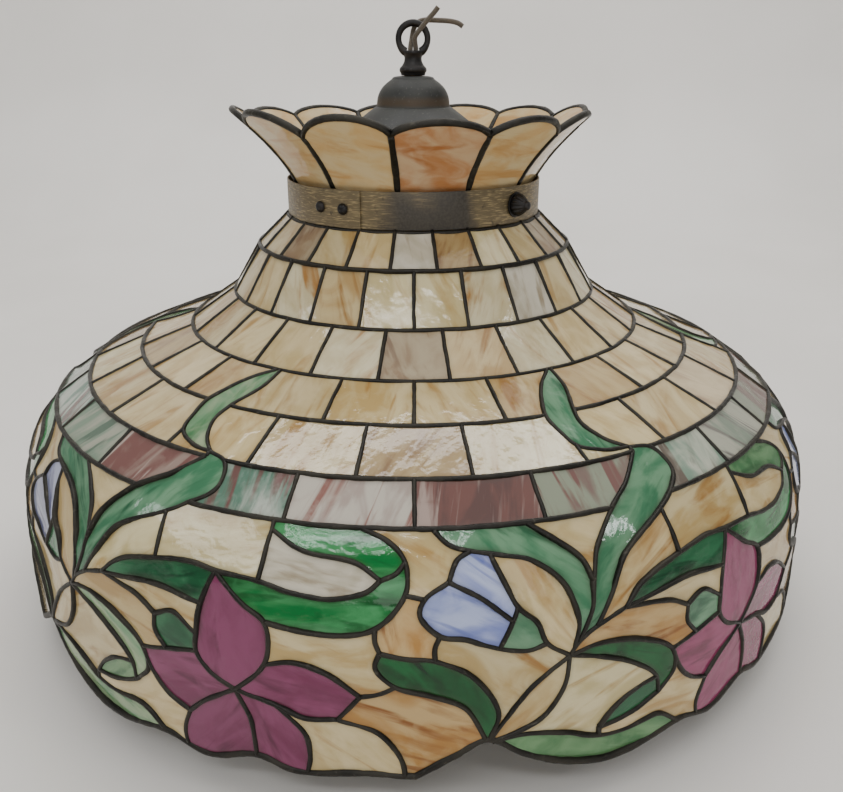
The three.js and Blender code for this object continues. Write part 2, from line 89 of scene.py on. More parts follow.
# Where leads meet. The lines below name these points and hold others only where their shape needs one.
MEETINGS = {
    "stalk": (16, 300),
    "leaf2_root": (16.5, 296),
    "split_root": (17, 293),
    "leaf1_root": (19, 286),
    "leaf3_root": (22.5, 279),
    "split_top": (19, 260),
    "leaf1_shoulder": (31, BORDER_TOP),
    "leaf1_edge": (34, BORDER_TOP),
    "leaf1_foot_left": (23.5, SKIRT_TOP),
    "leaf1_foot_right": (32.5, SKIRT_TOP),
    "leaf1_tip": (31, 190.5),
    "tendril_left": (22, COURSE_TOP),
    "tendril_right": (27.5, COURSE_TOP),
    "tendril_bend": (23.5, 180),
    "bud_top_left": (6, 237),
    "bud_top_right": (8, 239),
    "bud_waist": (3.5, 252.5),
    "bud_side": (1, 261),
    "bud_foot": (2.5, 281),
    "calyx_top": (10.5, 268),
    "calyx_middle": (10, 275),
    "calyx_foot": (8.5, 290),
    "calyx_side": (13.5, 290.5),
    "leaf5_tip": (-3.5, 290.5),
    "leaf5_shoulder": (2, 295),
    "leaf5_under": (-2, 310.5),
    "seed_foot": (7.5, 349.5),
    "curl_side": (59, 242),
    "curl_turn": (59, 259),
    "curl_low": (56, 277),
    "curl_inner": (56.5, 251.5),
    "lobe_start": (44, 229.5),
    "tile1_top": (30, 232),
    "tile1_foot": (30.5, 258.5),
    "tile2_foot": (43.5, 257.5),
    "green_bud_hook": (31, 290.5),
    "petal_tip": (38.5, 256.5),
    "petal_side": (37, 276),
    "petal_waist": (36.5, 294.5),
    "petal_shoulder": (44.5, 279),
    "petal_fold": (44.5, 304),
    "left_petal_tip": (29, 315),
    "left_petal_shoulder": (32.5, 310.5),
    "left_petal_join": (36.5, 305.5),
    "left_petal_foot": (35, 348),
    "right_petal_tip": (54.5, 317.5),
    "right_petal_foot": (52, 333.5),
    "low_petal_join": (45.5, 329),
    "flower_eye": (41, 324),
    "leaf4_tip": (27.5, 341.5),
    "sprig_root": (27, 330),
    "sprig_tip": (20, 353),
    "rim_leaf_peak": (20, 359),
}
LINES = [
    ["stalk", "leaf2_root", "split_root", "leaf1_root", "leaf3_root"],
    ["split_root", (18.5, 276), "split_top"],
    ["split_top", (20, 245), "leaf1_foot_left", (27.5, 210), "leaf1_shoulder"],
    [
        "leaf1_root", (21, 269), (23.5, 250), "tile1_top", "leaf1_foot_right", (35, 213), (35, 201),
        "leaf1_edge", "leaf1_tip",
    ],
    ["leaf1_shoulder", "leaf1_tip"],
    [(29.5, RING_LINES[3]), (25, 128), "tendril_left", (22.5, 168), "tendril_bend", (27, 188), "leaf1_tip"],
    [(30.5, RING_LINES[3]), (30, 130), "tendril_right", (27, 165), (28.5, 180), "leaf1_tip"],
    ["tendril_bend", (23.5, BORDER_TOP)],
    ["split_top", (18, 247), (15.5, 235), (12.5, SKIRT_TOP)],
    [
        "leaf2_root", (17, 280), (15.5, 258), (12.5, 245), "bud_top_right", "bud_top_left", (3.5, 232.5),
        (2, SKIRT_TOP),
    ],
    ["bud_top_left", (4.5, 241), "bud_waist"],
    ["bud_waist", (6.5, 261), "calyx_middle"],
    ["bud_waist", "bud_side", (0.5, 270), "bud_foot", (5, 283.5), "calyx_foot", (11.5, 293), "calyx_side"],
    ["bud_top_right", (9.5, 257), "calyx_top", (12.5, 278), "calyx_side", "stalk"],
    ["calyx_top", "calyx_middle", "calyx_foot"],
    ["bud_foot", (2, 288), "leaf5_shoulder"],
    ["bud_side", (-1, 259)],
    ["leaf5_tip", (-1, 293.5), "leaf5_shoulder", (6, 307), (8.5, 330), "seed_foot"],
    ["leaf5_tip", (-4, 299), "leaf5_under", (1.5, 316.5), (5, 325), "seed_foot"],
    [
        (54, SKIRT_TOP), (57, 231), "curl_side", "curl_turn", "curl_low", (53, 281.5), (48, 281.5),
        "petal_shoulder",
    ],
    [
        "leaf3_root", (25, 267.5), "tile1_foot", (35, 255), "petal_tip", "tile2_foot", (47, 261),
        (51, 262.5), (55, 258), "curl_inner",
    ],
    ["lobe_start", (48, 239), (53.5, 242.5), "curl_inner"],
    ["curl_inner", (58, 248), "curl_side"],
    ["tile1_top", "tile1_foot"],
    [(44, SKIRT_TOP), "lobe_start", "tile2_foot"],
    ["leaf3_root", (27, 275.5), (31.5, 273), "petal_side"],
    ["leaf3_root", (25.5, 280.5), (28.5, 283.5), "green_bud_hook"],
    ["green_bud_hook", (33.5, 285.5), "petal_waist"],
    ["green_bud_hook", (31, 300), "left_petal_shoulder"],
    ["petal_tip", "petal_side", "petal_waist", "left_petal_join", (38, 316), "flower_eye"],
    ["petal_tip", (42, 271), "petal_shoulder", (45, 292), "petal_fold", (43, 314), "flower_eye"],
    ["left_petal_tip", "left_petal_shoulder", "left_petal_join"],
    ["flower_eye", (37.5, 336), "left_petal_foot"],
    ["left_petal_tip", (30.5, 331), (32.5, 342), "left_petal_foot"],
    ["petal_fold", (47.5, 300.5), (51, 305), "right_petal_tip"],
    ["right_petal_tip", "right_petal_foot"],
    ["flower_eye", "low_petal_join", (48.5, 335), "right_petal_foot"],
    ["flower_eye", (42.5, 342), (43, 369)],
    ["left_petal_foot", (34, 364), (34.5, 377)],
    ["low_petal_join", (48.5, 345), (49, 361), (48.5, 375)],
    [(-5.5, 317.5), (-3.5, 315), "leaf5_under"],
    [(-4, 277), (-4, 284), "leaf5_tip"],
    ["right_petal_foot", (56, 340), (58.5, 358), (59, 374)],
    ["stalk", (12.5, 313.5), (9.5, 333), "seed_foot"],
    ["stalk", (15.5, 319), (13, 338), "seed_foot"],
    ["stalk", (19, 297), (24, 300.5), "left_petal_tip", (29.5, 329), "leaf4_tip"],
    ["stalk", (20, 306), (24.5, 318), "sprig_root", "leaf4_tip"],
    ["sprig_tip", (21.5, 343), (24, 334), "sprig_root"],
    ["leaf4_tip", (24, 349.5), "sprig_tip"],
    ["sprig_tip", "rim_leaf_peak"],
    ["seed_foot", (11, 346.5), (15.5, 350.5), "rim_leaf_peak", (24, 360), (28, 359), (31.5, 373)],
]
# Stretches of a ring line that are lead, where a leaf or a tendril breaks it.
RING_SPANS = {
    4: (MEETINGS["tendril_right"][0], MEETINGS["tendril_left"][0] + SECTOR),
    5: (MEETINGS["leaf1_edge"][0], MEETINGS["leaf1_shoulder"][0] + SECTOR),
    6: (MEETINGS["leaf1_foot_right"][0], MEETINGS["leaf1_foot_left"][0] + SECTOR),
}
RIM = [
    (0, 373), (4, 359.5), MEETINGS["seed_foot"], (11, 361), (15, 372), (20, 379.5), (24, 379.5),
    (31.5, 373), (37, 378.5), (43, 369), (47, 375), (55.5, 371.5), (60, 373),
]
# A point inside each piece of glass that has a name.
SEEDS = {
    "leaf1": (28, 222),
    "leaf2": (13, 237),
    "gap_v": (19, 238),
    "tile0": (26, 252),
    "tile1": (37, 240),
    "tile2": (48, 252),
    "curl_upper": (51, 233),
    "curl_lower": (51, 272),
    "leaf3": (31, 265),
    "cream_b": (34, 280),
    "green_bud": (34, 296),
    "caramel": (25, 290),
    "leaf4": (25, 311),
    "sprig": (24, 341),
    "cream_c": (19, 327),
    "seed": (13, 324),
    "cream_e": (8, 302),
    "leaf5": (5, 313),
    "blue1": (7, 253),
    "blue2": (5, 274),
    "calyx": (11, 283),
    "tan_f": (14, 268),
    "cream_g": (1, 246),
    "amber_o": (-1, 279),
    "cream_l": (51, 293),
    "amber_m": (59, 335),
    "cream_n": (54, 354),
    "cream_k": (31, 352),
    "rim_leaf": (16, 364),
    "petal_top": (41, 292),
    "petal_left": (34, 324),
    "petal_right": (48, 318),
    "petal_bl": (39, 354),
    "petal_br": (46, 354),
    "tendril": (25, 157),
}
# Each glass has its main colour, the veil through it and its streaks.
GLASSES = {
    "cream": ((184, 162, 114), (205, 188, 145), (164, 130, 78)),
    "white": ((188, 172, 124), (210, 198, 156), (170, 140, 84)),
    "caramel": ((175, 145, 95), (200, 180, 135), (150, 110, 60)),
    "ochre": ((174, 148, 96), (198, 182, 140), (152, 112, 58)),
    "pinkish": ((150, 124, 82), (172, 150, 106), (122, 90, 54)),
    "peach": ((166, 136, 86), (186, 164, 116), (144, 104, 58)),
    "grey": ((180, 172, 150), (205, 198, 180), (150, 135, 110)),
    "white_caramel": ((190, 175, 135), (210, 200, 165), (160, 115, 60)),
    "lilac": ((180, 160, 125), (200, 182, 148), (160, 135, 105)),
    "mauve_brown": ((110, 75, 70), (140, 120, 110), (175, 160, 150)),
    "brown": ((140, 115, 85), (170, 155, 125), (110, 80, 55)),
    "amber": ((165, 120, 60), (190, 160, 110), (130, 78, 28)),
    "petal": ((105, 38, 72), (125, 58, 92), (85, 28, 56)),
    "rose": ((122, 40, 78), (142, 60, 98), (98, 26, 58)),
    "sea": ((58, 110, 78), (104, 144, 112), (38, 86, 58)),
    "forest": ((18, 74, 44), (42, 102, 66), (8, 50, 28)),
    "emerald": ((15, 105, 48), (70, 145, 90), (5, 70, 28)),
    "bottle": ((0, 58, 22), (4, 90, 42), (0, 34, 12)),
    "mint": ((98, 140, 100), (152, 168, 132), (66, 118, 74)),
    "sage": ((80, 122, 82), (118, 150, 106), (60, 100, 62)),
    "moss": ((62, 110, 66), (104, 142, 98), (38, 84, 44)),
    "bluet": ((118, 130, 186), (170, 180, 214), (98, 110, 172)),
    "mauve": ((128, 132, 160), (166, 170, 192), (104, 106, 136)),
    "russet": ((68, 26, 18), (90, 42, 32), (150, 130, 120)),
    "russet_green": ((100, 78, 66), (120, 128, 106), (95, 50, 40)),
    "mint_cream": ((110, 130, 110), (150, 152, 135), (72, 95, 78)),
    "teal_grey": ((84, 118, 100), (165, 172, 160), (105, 75, 70)),
    "pink_white": ((150, 135, 125), (175, 168, 155), (120, 70, 58)),
    "grey_green": ((122, 146, 128), (185, 187, 170), (104, 94, 84)),
    "lavender": ((120, 132, 116), (162, 162, 146), (94, 86, 84)),
    "crown": ((200, 166, 114), (206, 186, 144), (188, 146, 92)),
    "crown_orange": ((184, 128, 82), (204, 174, 138), (172, 112, 66)),
}
LETTERS = {
    "c": "cream", "w": "white", "k": "caramel", "o": "ochre", "p": "pinkish", "h": "peach", "g": "grey",
    "b": "brown", "r": "russet", "R": "russet_green", "m": "mint_cream", "t": "teal_grey", "P": "pink_white",
    "G": "grey_green", "l": "lavender", "W": "white_caramel", "v": "lilac", "M": "mauve_brown",
}
# Tiles of each course in order of azimuth from -60 to 60, then the choice for the rest of the way round.
TILES = [
    ("bocgpwcb", "bcgpwoc"),
    ("cWkwwWgc", "cowWg"),
    ("ccWbkWcc", "chkowW"),
    ("chcockhc", "chokcp"),
    ("chccpwwccv", "chowp"),
    ("mMtPrRGl", "mtPRGlM"),
]
# Glass of the floral pieces: in the sector left of the front, in the one right of it, then elsewhere.
FLORAL = {
    "leaf1": ("sea", "sea", "sea"),
    "leaf2": ("sea", "sea", "sea"),
    "gap_v": ("cream", "cream", "ochre"),
    "tile0": ("white", "caramel", "cream"),
    "tile1": ("white", "ochre", "white"),
    "tile2": ("grey", "cream", "cream"),
    "curl_upper": ("emerald", "moss", "emerald"),
    "curl_lower": ("emerald", "emerald", "sea"),
    "leaf3": ("forest", "forest", "forest"),
    "cream_b": ("cream", "cream", "cream"),
    "green_bud": ("forest", "sea", "forest"),
    "caramel": ("peach", "amber", "ochre"),
    "leaf4": ("mint", "bottle", "bottle"),
    "sprig": ("sage", "forest", "sage"),
    "cream_c": ("cream", "white", "cream"),
    "seed": ("ochre", "cream", "ochre"),
    "cream_e": ("cream", "ochre", "cream"),
    "leaf5": ("sage", "bottle", "bottle"),
    "blue1": ("mauve", "bluet", "bluet"),
    "blue2": ("mauve", "bluet", "bluet"),
    "calyx": ("sea", "sea", "sea"),
    "tan_f": ("peach", "cream", "cream"),
    "cream_g": ("cream", "cream", "cream"),
    "amber_o": ("amber", "amber", "caramel"),
    "cream_l": ("ochre", "caramel", "cream"),
    "amber_m": ("cream", "amber", "amber"),
    "cream_n": ("cream", "cream", "cream"),
    "cream_k": ("cream", "cream", "cream"),
    "rim_leaf": ("mint", "moss", "moss"),
    "petal_top": ("petal", "rose", "petal"),
    "petal_left": ("petal", "rose", "petal"),
    "petal_right": ("petal", "rose", "petal"),
    "petal_bl": ("petal", "rose", "petal"),
    "petal_br": ("petal", "rose", "petal"),
    "tendril": ("mint", "sea", "mint"),
}
FLOWER = [name for name in FLORAL if name.startswith("petal")]
FOLIAGE = ["leaf1", "leaf2", "leaf3", "leaf4", "leaf5", "curl_upper", "curl_lower", "green_bud", "sprig"]
FOLIAGE += ["calyx", "rim_leaf", "tendril"]
BUDS = ["blue1", "blue2"]


# Widths of the solder beads, and how far they stand out of the glass on each face.
COURSE_SEAM, SKIRT_SEAM = 2.9, 3.1
RING_BEAD, BROKEN_RING_BEAD = 3.2, 3.3
RIM_BEAD, RIM_PROUD = 4.2, 1.5
NECK_BEAD, NECK_PROUD = 3.2, 0.7
BEAD_PROUD = 1.45
CREST_BEAD, RIB_BEAD = (4.1, 4.7), (5.0, 5.2)  # across and through
RIM_LIFT = 2.4  # from the rim's lower edge to the middle of its came

# The camera stands in front of the lamp and looks down on it.
CAMERA = {"lens": 37.01, "place": (0, -0.676, 0.377), "down": 20.92, "turn": -0.52}


# Helpers


def polar(radius, azimuth, height):
    """A point in metres from millimetres and degrees."""
    a = math.radians(azimuth)
    return Vector((radius * math.sin(a), -radius * math.cos(a), height)) * MM


def smooth_line(points, step, closed=False):
    """Points along a centripetal Catmull-Rom curve, about step apart. The given points stay in the line."""
    points = [Vector(p) for p in points]
    if len(points) == 2 and not closed:
        count = max(1, round((points[1] - points[0]).length / step))
        return [points[0].lerp(points[1], i / count) for i in range(count + 1)]
    if closed:
        ring = [points[-1], *points, points[0], points[1]]
    else:
        ring = [2 * points[0] - points[1], *points, 2 * points[-1] - points[-2]]
    line = []
    for before, start, end, after in zip(ring, ring[1:], ring[2:], ring[3:]):
        knots = [0]
        for a, b in ((before, start), (start, end), (end, after)):
            knots.append(knots[-1] + max(math.sqrt((b - a).length), 1e-6))
        t0, t1, t2, t3 = knots
        count = max(1, round((end - start).length / step))
        for i in range(count):
            t = t1 + (t2 - t1) * i / count
            a1 = before * ((t1 - t) / (t1 - t0)) + start * ((t - t0) / (t1 - t0))
            a2 = start * ((t2 - t) / (t2 - t1)) + end * ((t - t1) / (t2 - t1))
            a3 = end * ((t3 - t) / (t3 - t2)) + after * ((t - t2) / (t3 - t2))
            b1 = a1 * ((t2 - t) / (t2 - t0)) + a2 * ((t - t0) / (t2 - t0))
            b2 = a2 * ((t3 - t) / (t3 - t1)) + a3 * ((t - t1) / (t3 - t1))
            line.append(b1 * ((t2 - t) / (t2 - t1)) + b2 * ((t - t1) / (t2 - t1)))
    if not closed:
        line.append(points[-1])
    return line


def linear(colour):
    """An sRGB colour of 0 to 255 as linear values."""
    return [((c / 255 + 0.055) / 1.055) ** 2.4 if c > 10 else c / 255 / 12.92 for c in colour]


def new_object(name, mesh, material, smooth=True):
    bpy.context.scene.collection.objects.link(obj := bpy.data.objects.new(name, mesh))
    mesh.materials.append(material)
    mesh.polygons.foreach_set("use_smooth", [smooth] * len(mesh.polygons))
    return obj


def mesh_object(name, vertices, faces, material, smooth=True):
    mesh = bpy.data.meshes.new(name)
    mesh.from_pydata(vertices, [], faces)
    mesh.validate()
    tidy = bmesh.new()
    tidy.from_mesh(mesh)
    bmesh.ops.recalc_face_normals(tidy, faces=tidy.faces)
    tidy.to_mesh(mesh)
    tidy.free()
    return new_object(name, mesh, material, smooth)


def register(made, nodes=None, body="lamp"):
    """Tell the frame which body a piece rides, which CAD nodes it replaces."""
    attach(made, body)
    if nodes is not None:
        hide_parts(*nodes)


class Surface:
    """Vertices and faces gathered from many tubes and turned bodies."""

    def __init__(self):
        self.vertices = []
        self.faces = []

    def add(self, vertices, faces):
        start = len(self.vertices)
        self.vertices += vertices
        self.faces += [tuple(start + i for i in face) for face in faces]

    def tube(self, sections, closed=False):
        """A skin over loops of as many points, with its ends filled unless it is closed."""
        ring = len(sections[0])
        count = len(sections)
        faces = []
        for i in range(count if closed else count - 1):
            near, far = i * ring, (i + 1) % count * ring
            for j in range(ring):
                k = (j + 1) % ring
                faces.append((near + j, near + k, far + k, far + j))
        if not closed:
            faces.append(tuple(reversed(range(ring))))
            faces.append(tuple(range((count - 1) * ring, count * ring)))
        self.add([p for section in sections for p in section], faces)

    def object(self, name, material, smooth=True):
        return mesh_object(name, self.vertices, self.faces, material, smooth)


def turned(surface, profile, sides=64, place=None, ripple=None):
    """A body turned about +Z from a closed profile of (radius, height) in millimetres. A profile that starts
    and ends on the axis is closed there. Ripple gives a factor of the radius for an angle and an index."""
    place = place or Matrix.Identity(4)
    on_axis = profile[0][0] == 0 and profile[-1][0] == 0
    rings = profile[1:-1] if on_axis else profile
    vertices, faces = [], []
    for j in range(sides):
        angle = 2 * math.pi * j / sides
        for i, (radius, height) in enumerate(rings):
            r = radius * (ripple(angle, i) if ripple else 1)
            vertices.append(place @ (Vector((r * math.cos(angle), r * math.sin(angle), height)) * MM))
    count = len(rings)
    for j in range(sides):
        near, far = j * count, (j + 1) % sides * count
        for i in range(count - 1 if on_axis else count):
            k = (i + 1) % count
            faces.append((near + i, near + k, far + k, far + i))
    if on_axis:
        poles = len(vertices)
        vertices += [place @ Vector((0, 0, profile[0][1] * MM)), place @ Vector((0, 0, profile[-1][1] * MM))]
        for j in range(sides):
            near, far = j * count, (j + 1) % sides * count
            faces.append((poles, near, far))
            faces.append((poles + 1, far + count - 1, near + count - 1))
    surface.add(vertices, faces)


def sheet_profile(line, thickness):
    """A closed profile: the line, and its copy moved to the right of its direction by the thickness."""
    points = [Vector(p) for p in line]
    inner = []
    for i, p in enumerate(points):
        along = (points[min(i + 1, len(points) - 1)] - points[max(i - 1, 0)]).normalized()
        inner.append(p + Vector((along.y, -along.x)) * thickness)
    return [tuple(p) for p in points + inner[::-1]]


def rounded_profile(points, radius, steps=3):
    """A closed profile with each corner cut to an arc-like curve of about that radius."""
    corners = [Vector(p) for p in points]
    made = []
    for i, corner in enumerate(corners):
        before = corners[i - 1] - corner
        after = corners[(i + 1) % len(corners)] - corner
        reach = min(radius, before.length * 0.45, after.length * 0.45)
        start = corner + before.normalized() * reach
        end = corner + after.normalized() * reach
        for k in range(steps + 1):
            t = k / steps
            made.append(tuple((1 - t) ** 2 * start + 2 * t * (1 - t) * corner + t * t * end))
    return made


def round_sections(points, radius, sides=12):
    """Circles across a line of points, with a frame carried along it without twist."""
    sections = []
    side = None
    for i, p in enumerate(points):
        along = (points[min(i + 1, len(points) - 1)] - points[max(i - 1, 0)]).normalized()
        if side is None:
            side = along.orthogonal().normalized()
        side = (side - along * side.dot(along)).normalized()
        other = along.cross(side)
        r = radius(i) if callable(radius) else radius
        turn = [2 * math.pi * k / sides for k in range(sides)]
        sections.append([p + (side * math.cos(a) + other * math.sin(a)) * r for a in turn])
    return sections


# Materials


class Nodes:
    """A material being built: each method adds one node and returns its output."""

    def __init__(self, name):
        self.material = bpy.data.materials.new(name)
        self.material.use_nodes = True
        self.tree = self.material.node_tree
        self.shader = self.tree.nodes["Principled BSDF"]

    def node(self, kind, inputs=None, **settings):
        made = self.tree.nodes.new(kind)
        for key, value in settings.items():
            setattr(made, key, value)
        for key, value in (inputs or {}).items():
            if isinstance(value, bpy.types.NodeSocket):
                self.tree.links.new(value, made.inputs[key])
            else:
                made.inputs[key].default_value = value
        return made

    def position(self):
        return self.node("ShaderNodeTexCoord").outputs["Object"]

    def attribute(self, name, output):
        return self.node("ShaderNodeAttribute", attribute_name=name).outputs[output]

    def scaled(self, vector, scale):
        return self.node("ShaderNodeMapping", {"Vector": vector, "Scale": scale}).outputs["Vector"]

    def noise(self, vector, scale, detail=3.0, distortion=0.0, roughness=0.5):
        inputs = {"Vector": vector, "Scale": scale, "Detail": detail, "Distortion": distortion}
        return self.node("ShaderNodeTexNoise", {**inputs, "Roughness": roughness}).outputs["Fac"]

    def span(self, value, low, high, to_low=0.0, to_high=1.0):
        inputs = {"Value": value, "From Min": low, "From Max": high, "To Min": to_low, "To Max": to_high}
        return self.node("ShaderNodeMapRange", inputs, interpolation_type="SMOOTHSTEP").outputs["Result"]

    def mix(self, factor, a, b):
        made = self.node("ShaderNodeMix", data_type="RGBA")
        for index, value in ((0, factor), (6, a), (7, b)):
            if isinstance(value, bpy.types.NodeSocket):
                self.tree.links.new(value, made.inputs[index])
            elif index == 0:
                made.inputs[index].default_value = value
            else:
                made.inputs[index].default_value = [*linear(value), 1]
        return made.outputs[2]

    def product(self, a, b, operation="MULTIPLY"):
        return self.node("ShaderNodeMath", {0: a, 1: b}, operation=operation).outputs[0]

    def bump(self, height, distance, strength=1.0, under=None):
        inputs = {"Height": height, "Distance": distance, "Strength": strength}
        if under is not None:
            inputs["Normal"] = under
        return self.node("ShaderNodeBump", inputs).outputs["Normal"]

    def finish(self, colour, roughness, normal=None, metallic=0.0, **more):
        sockets = {"Base Color": colour, "Roughness": roughness, "Metallic": metallic, **more}
        if normal is not None:
            sockets["Normal"] = normal
        for key, value in sockets.items():
            if isinstance(value, bpy.types.NodeSocket):
                self.tree.links.new(value, self.shader.inputs[key])
            elif key == "Base Color":
                self.shader.inputs[key].default_value = [*linear(value), 1]
            else:
                self.shader.inputs[key].default_value = value
        return self.material


def glass_material(name, drawn=1.0, contrast=1.0, gloss=0.5):
    """Opalescent sheet glass: two clouded colours, drawn-out streaks and a rippled, glossy face.

    drawn is how far the colours are pulled out along the sheet, contrast how hard their edges are, gloss the
    strength of the face's shine.
    """
    n = Nodes(name)
    sheet = n.attribute("sheet", "Vector")
    cloud = n.noise(n.scaled(sheet, (22 / drawn, 48, 48)), 1.0, 4.0, 0.9)
    streak = n.noise(n.scaled(sheet, (13 / drawn, 70, 70)), 1.0, 5.0, 1.2)
    wisp = n.noise(n.scaled(sheet, (40 / drawn, 330, 330)), 1.0, 3.0, 0.6)
    mottle = n.noise(n.position(), 62.0, 4.0, 0.6)
    soft = 0.13 / contrast
    main, veil = n.attribute("tint_a", "Color"), n.attribute("tint_b", "Color")
    body = n.mix(n.span(cloud, 0.5 - soft, 0.5 + soft), main, veil)
    streaked = n.mix(n.span(streak, 0.57 - soft / 2, 0.57 + soft), body, n.attribute("tint_c", "Color"))
    cloudy = n.mix(n.span(mottle, 0.5, 0.72, 0.0, 0.45), streaked, n.attribute("tint_b", "Color"))
    wisped = n.mix(n.span(wisp, 0.6, 0.76, 0.0, 0.3), cloudy, n.attribute("tint_c", "Color"))
    # Painted shade and grime: an occlusion pass darkens the glass towards a dark olive where the solder beads
    # stand over it, so the recess beside each lead is shaded in the colour as well as soiled.
    corner = n.node("ShaderNodeAmbientOcclusion", {"Distance": 3.5 * MM}, samples=4).outputs["AO"]
    pale = n.mix(n.span(corner, 0.55, 0.95, 0.45, 0.0), wisped, (74, 68, 54))
    ripple = n.noise(n.scaled(sheet, (55, 85, 70)), 1.0, 2.0, 0.3)
    seed = n.noise(n.position(), 420.0, 2.0)
    normal = n.bump(seed, 0.00012, 0.5, n.bump(ripple, 0.0011, 0.55))
    smear = n.span(n.noise(n.position(), 38.0, 4.0), 0.35, 0.7, 0.03, 0.11)
    face = {"Coat Weight": 0.4 * gloss, "Coat Roughness": 0.03, "IOR": 1.48, "Specular IOR Level": gloss}
    return n.finish(pale, smear, normal, **face)


def lead_material():
    """Patinated lead and solder: nearly black in the hollows, greyer where it is rubbed."""
    n = Nodes("lead_came_patina")
    place = n.position()
    lumps = n.noise(place, 260.0, 4.0, 0.4)
    tone = n.noise(place, 45.0, 4.0)
    dark = n.mix(n.span(tone, 0.35, 0.68), (27, 25, 21), (52, 49, 42))
    rubbed = n.mix(n.span(lumps, 0.58, 0.8, 0.0, 0.7), dark, (84, 80, 70))
    pores = n.noise(place, 900.0, 2.0)
    normal = n.bump(pores, 0.0001, 0.4, n.bump(lumps, 0.0006, 0.7))
    return n.finish(rubbed, n.span(tone, 0.3, 0.7, 0.36, 0.58), normal, 0.55)


def band_material():
    """Brass strip under a dark patina, rubbed and scratched back towards the brass in long patches."""
    n = Nodes("band_brass_patina")
    place = n.position()
    patch = n.noise(n.scaled(place, (1, 1, 0.6)), 11.0, 3.0, 0.4)
    strokes = n.noise(n.scaled(place, (130, 130, 1500)), 1.0, 4.0, 0.5)
    specks = n.noise(place, 620.0, 3.0)
    across = n.node("ShaderNodeSeparateXYZ", {"Vector": place}).outputs["X"]
    aside = n.product(n.product(n.product(across, across), 45.0), n.product(patch, 0.5), "ADD")
    rubbed = n.span(aside, 0.26, 0.33)
    cut = n.product(rubbed, n.span(strokes, 0.5, 0.66))
    base = n.mix(n.span(specks, 0.35, 0.7), (58, 54, 48), (74, 69, 61))
    worn = n.mix(n.product(rubbed, 0.75), base, (116, 102, 74))
    brass = n.mix(n.product(cut, 0.75), worn, (172, 152, 110))
    flecks = n.mix(n.span(n.noise(place, 190.0, 4.0), 0.62, 0.74, 0.0, 0.6), brass, (54, 49, 43))
    normal = n.bump(strokes, 0.00012, 0.5, n.bump(n.noise(place, 30.0, 3.0), 0.0012, 0.3))
    return n.finish(flecks, n.span(specks, 0.3, 0.7, 0.36, 0.54), normal, 0.35)


def spun_material():
    """Spun metal cap: grey-brown, dull, with faint turning lines and a browner ring under the dome."""
    n = Nodes("cap_metal_dull")
    place = n.position()
    flat = n.scaled(place, (1, 1, 0))
    radial = n.node("ShaderNodeVectorMath", {0: flat}, operation="LENGTH").outputs["Value"]
    ring = n.noise(n.node("ShaderNodeCombineXYZ", {"X": radial}).outputs["Vector"], 420.0, 3.0)
    mottle = n.noise(place, 70.0, 5.0)
    base = n.mix(n.span(mottle, 0.35, 0.7), (44, 45, 44), (62, 63, 61))
    height = n.node("ShaderNodeSeparateXYZ", {"Vector": place}).outputs["Z"]
    low = n.span(height, 0.3475, 0.3505)
    high = n.span(height, 0.352, 0.357, 1.0, 0.0)
    brown = n.mix(n.product(n.product(low, high), 0.6), base, (88, 74, 58))
    dust = n.mix(n.span(n.noise(place, 500.0, 2.0), 0.6, 0.75, 0.0, 0.5), brown, (96, 95, 89))
    normal = n.bump(ring, 0.00012, 0.5, n.bump(mottle, 0.0005, 0.3))
    return n.finish(dust, n.span(mottle, 0.3, 0.7, 0.46, 0.64), normal, 0.45)


def metal_material(name, dark, light, roughness, metallic, lumps=0.0005):
    n = Nodes(name)
    place = n.position()
    cast = n.noise(place, 300.0, 4.0, 0.3)
    tone = n.noise(place, 60.0, 4.0)
    colour = n.mix(n.span(tone, 0.35, 0.7), dark, light)
    worn = n.mix(n.span(cast, 0.6, 0.78, 0.0, 0.5), colour, [min(255, c + 34) for c in light])
    normal = n.bump(cast, lumps, 0.5)
    return n.finish(worn, n.span(tone, 0.3, 0.7, roughness - 0.07, roughness + 0.1), normal, metallic)


def porcelain_material():
    n = Nodes("porcelain_glaze")
    tone = n.noise(n.position(), 55.0, 4.0)
    colour = n.mix(n.span(tone, 0.35, 0.7), (214, 204, 182), (232, 226, 208))
    return n.finish(colour, 0.28, n.bump(tone, 0.0003, 0.3))


def cloth_material():
    """Braided cloth over wire: two strands crossing, in grey-brown yarn."""
    n = Nodes("cloth_cover_braid")
    uv = n.node("ShaderNodeTexCoord").outputs["UV"]
    place = n.position()
    strands = []
    for slant in (3, -3):
        inputs = {"Vector": n.scaled(uv, (34, slant, 1)), "Scale": 1.0}
        strands.append(n.node("ShaderNodeTexWave", inputs, bands_direction="DIAGONAL").outputs["Fac"])
    braid = n.product(*strands, "MAXIMUM")
    fuzz = n.noise(place, 2600.0, 3.0)
    yarn = n.mix(n.span(fuzz, 0.35, 0.7), (80, 71, 59), (124, 113, 97))
    # Painted shade: the yarn is darkened in the grooves between the braid's strands.
    colour = n.mix(n.span(braid, 0.3, 0.8, 0.55, 0.0), yarn, (58, 52, 44))
    normal = n.bump(fuzz, 0.0002, 0.6, n.bump(braid, 0.0004, 0.8))
    return n.finish(colour, 0.9, normal, **{"Sheen Weight": 0.25})


OPAL = glass_material("opal_sheet_glass", 0.8, 0.85, 0.42)
BORDER = glass_material("border_sheet_glass", 1.6, 1.9)
FLORAL_GLASS = glass_material("floral_sheet_glass", gloss=0.36)
AMBER = glass_material("amber_sheet_glass", 0.7, 0.8, 0.2)
LEAD = lead_material()
BAND_BRASS = band_material()
CAP_METAL = spun_material()
BLACK = metal_material("black_cast_metal", (26, 25, 25), (48, 45, 44), 0.42, 0.5)
STEEL = metal_material("bar_steel_mill", (96, 95, 92), (128, 126, 122), 0.42, 0.85, 0.0002)
BRASS = metal_material("plain_brass_aged", (128, 100, 56), (168, 138, 84), 0.36, 0.9, 0.0002)
PORCELAIN = porcelain_material()
CLOTH = cloth_material()


# Camera and leads


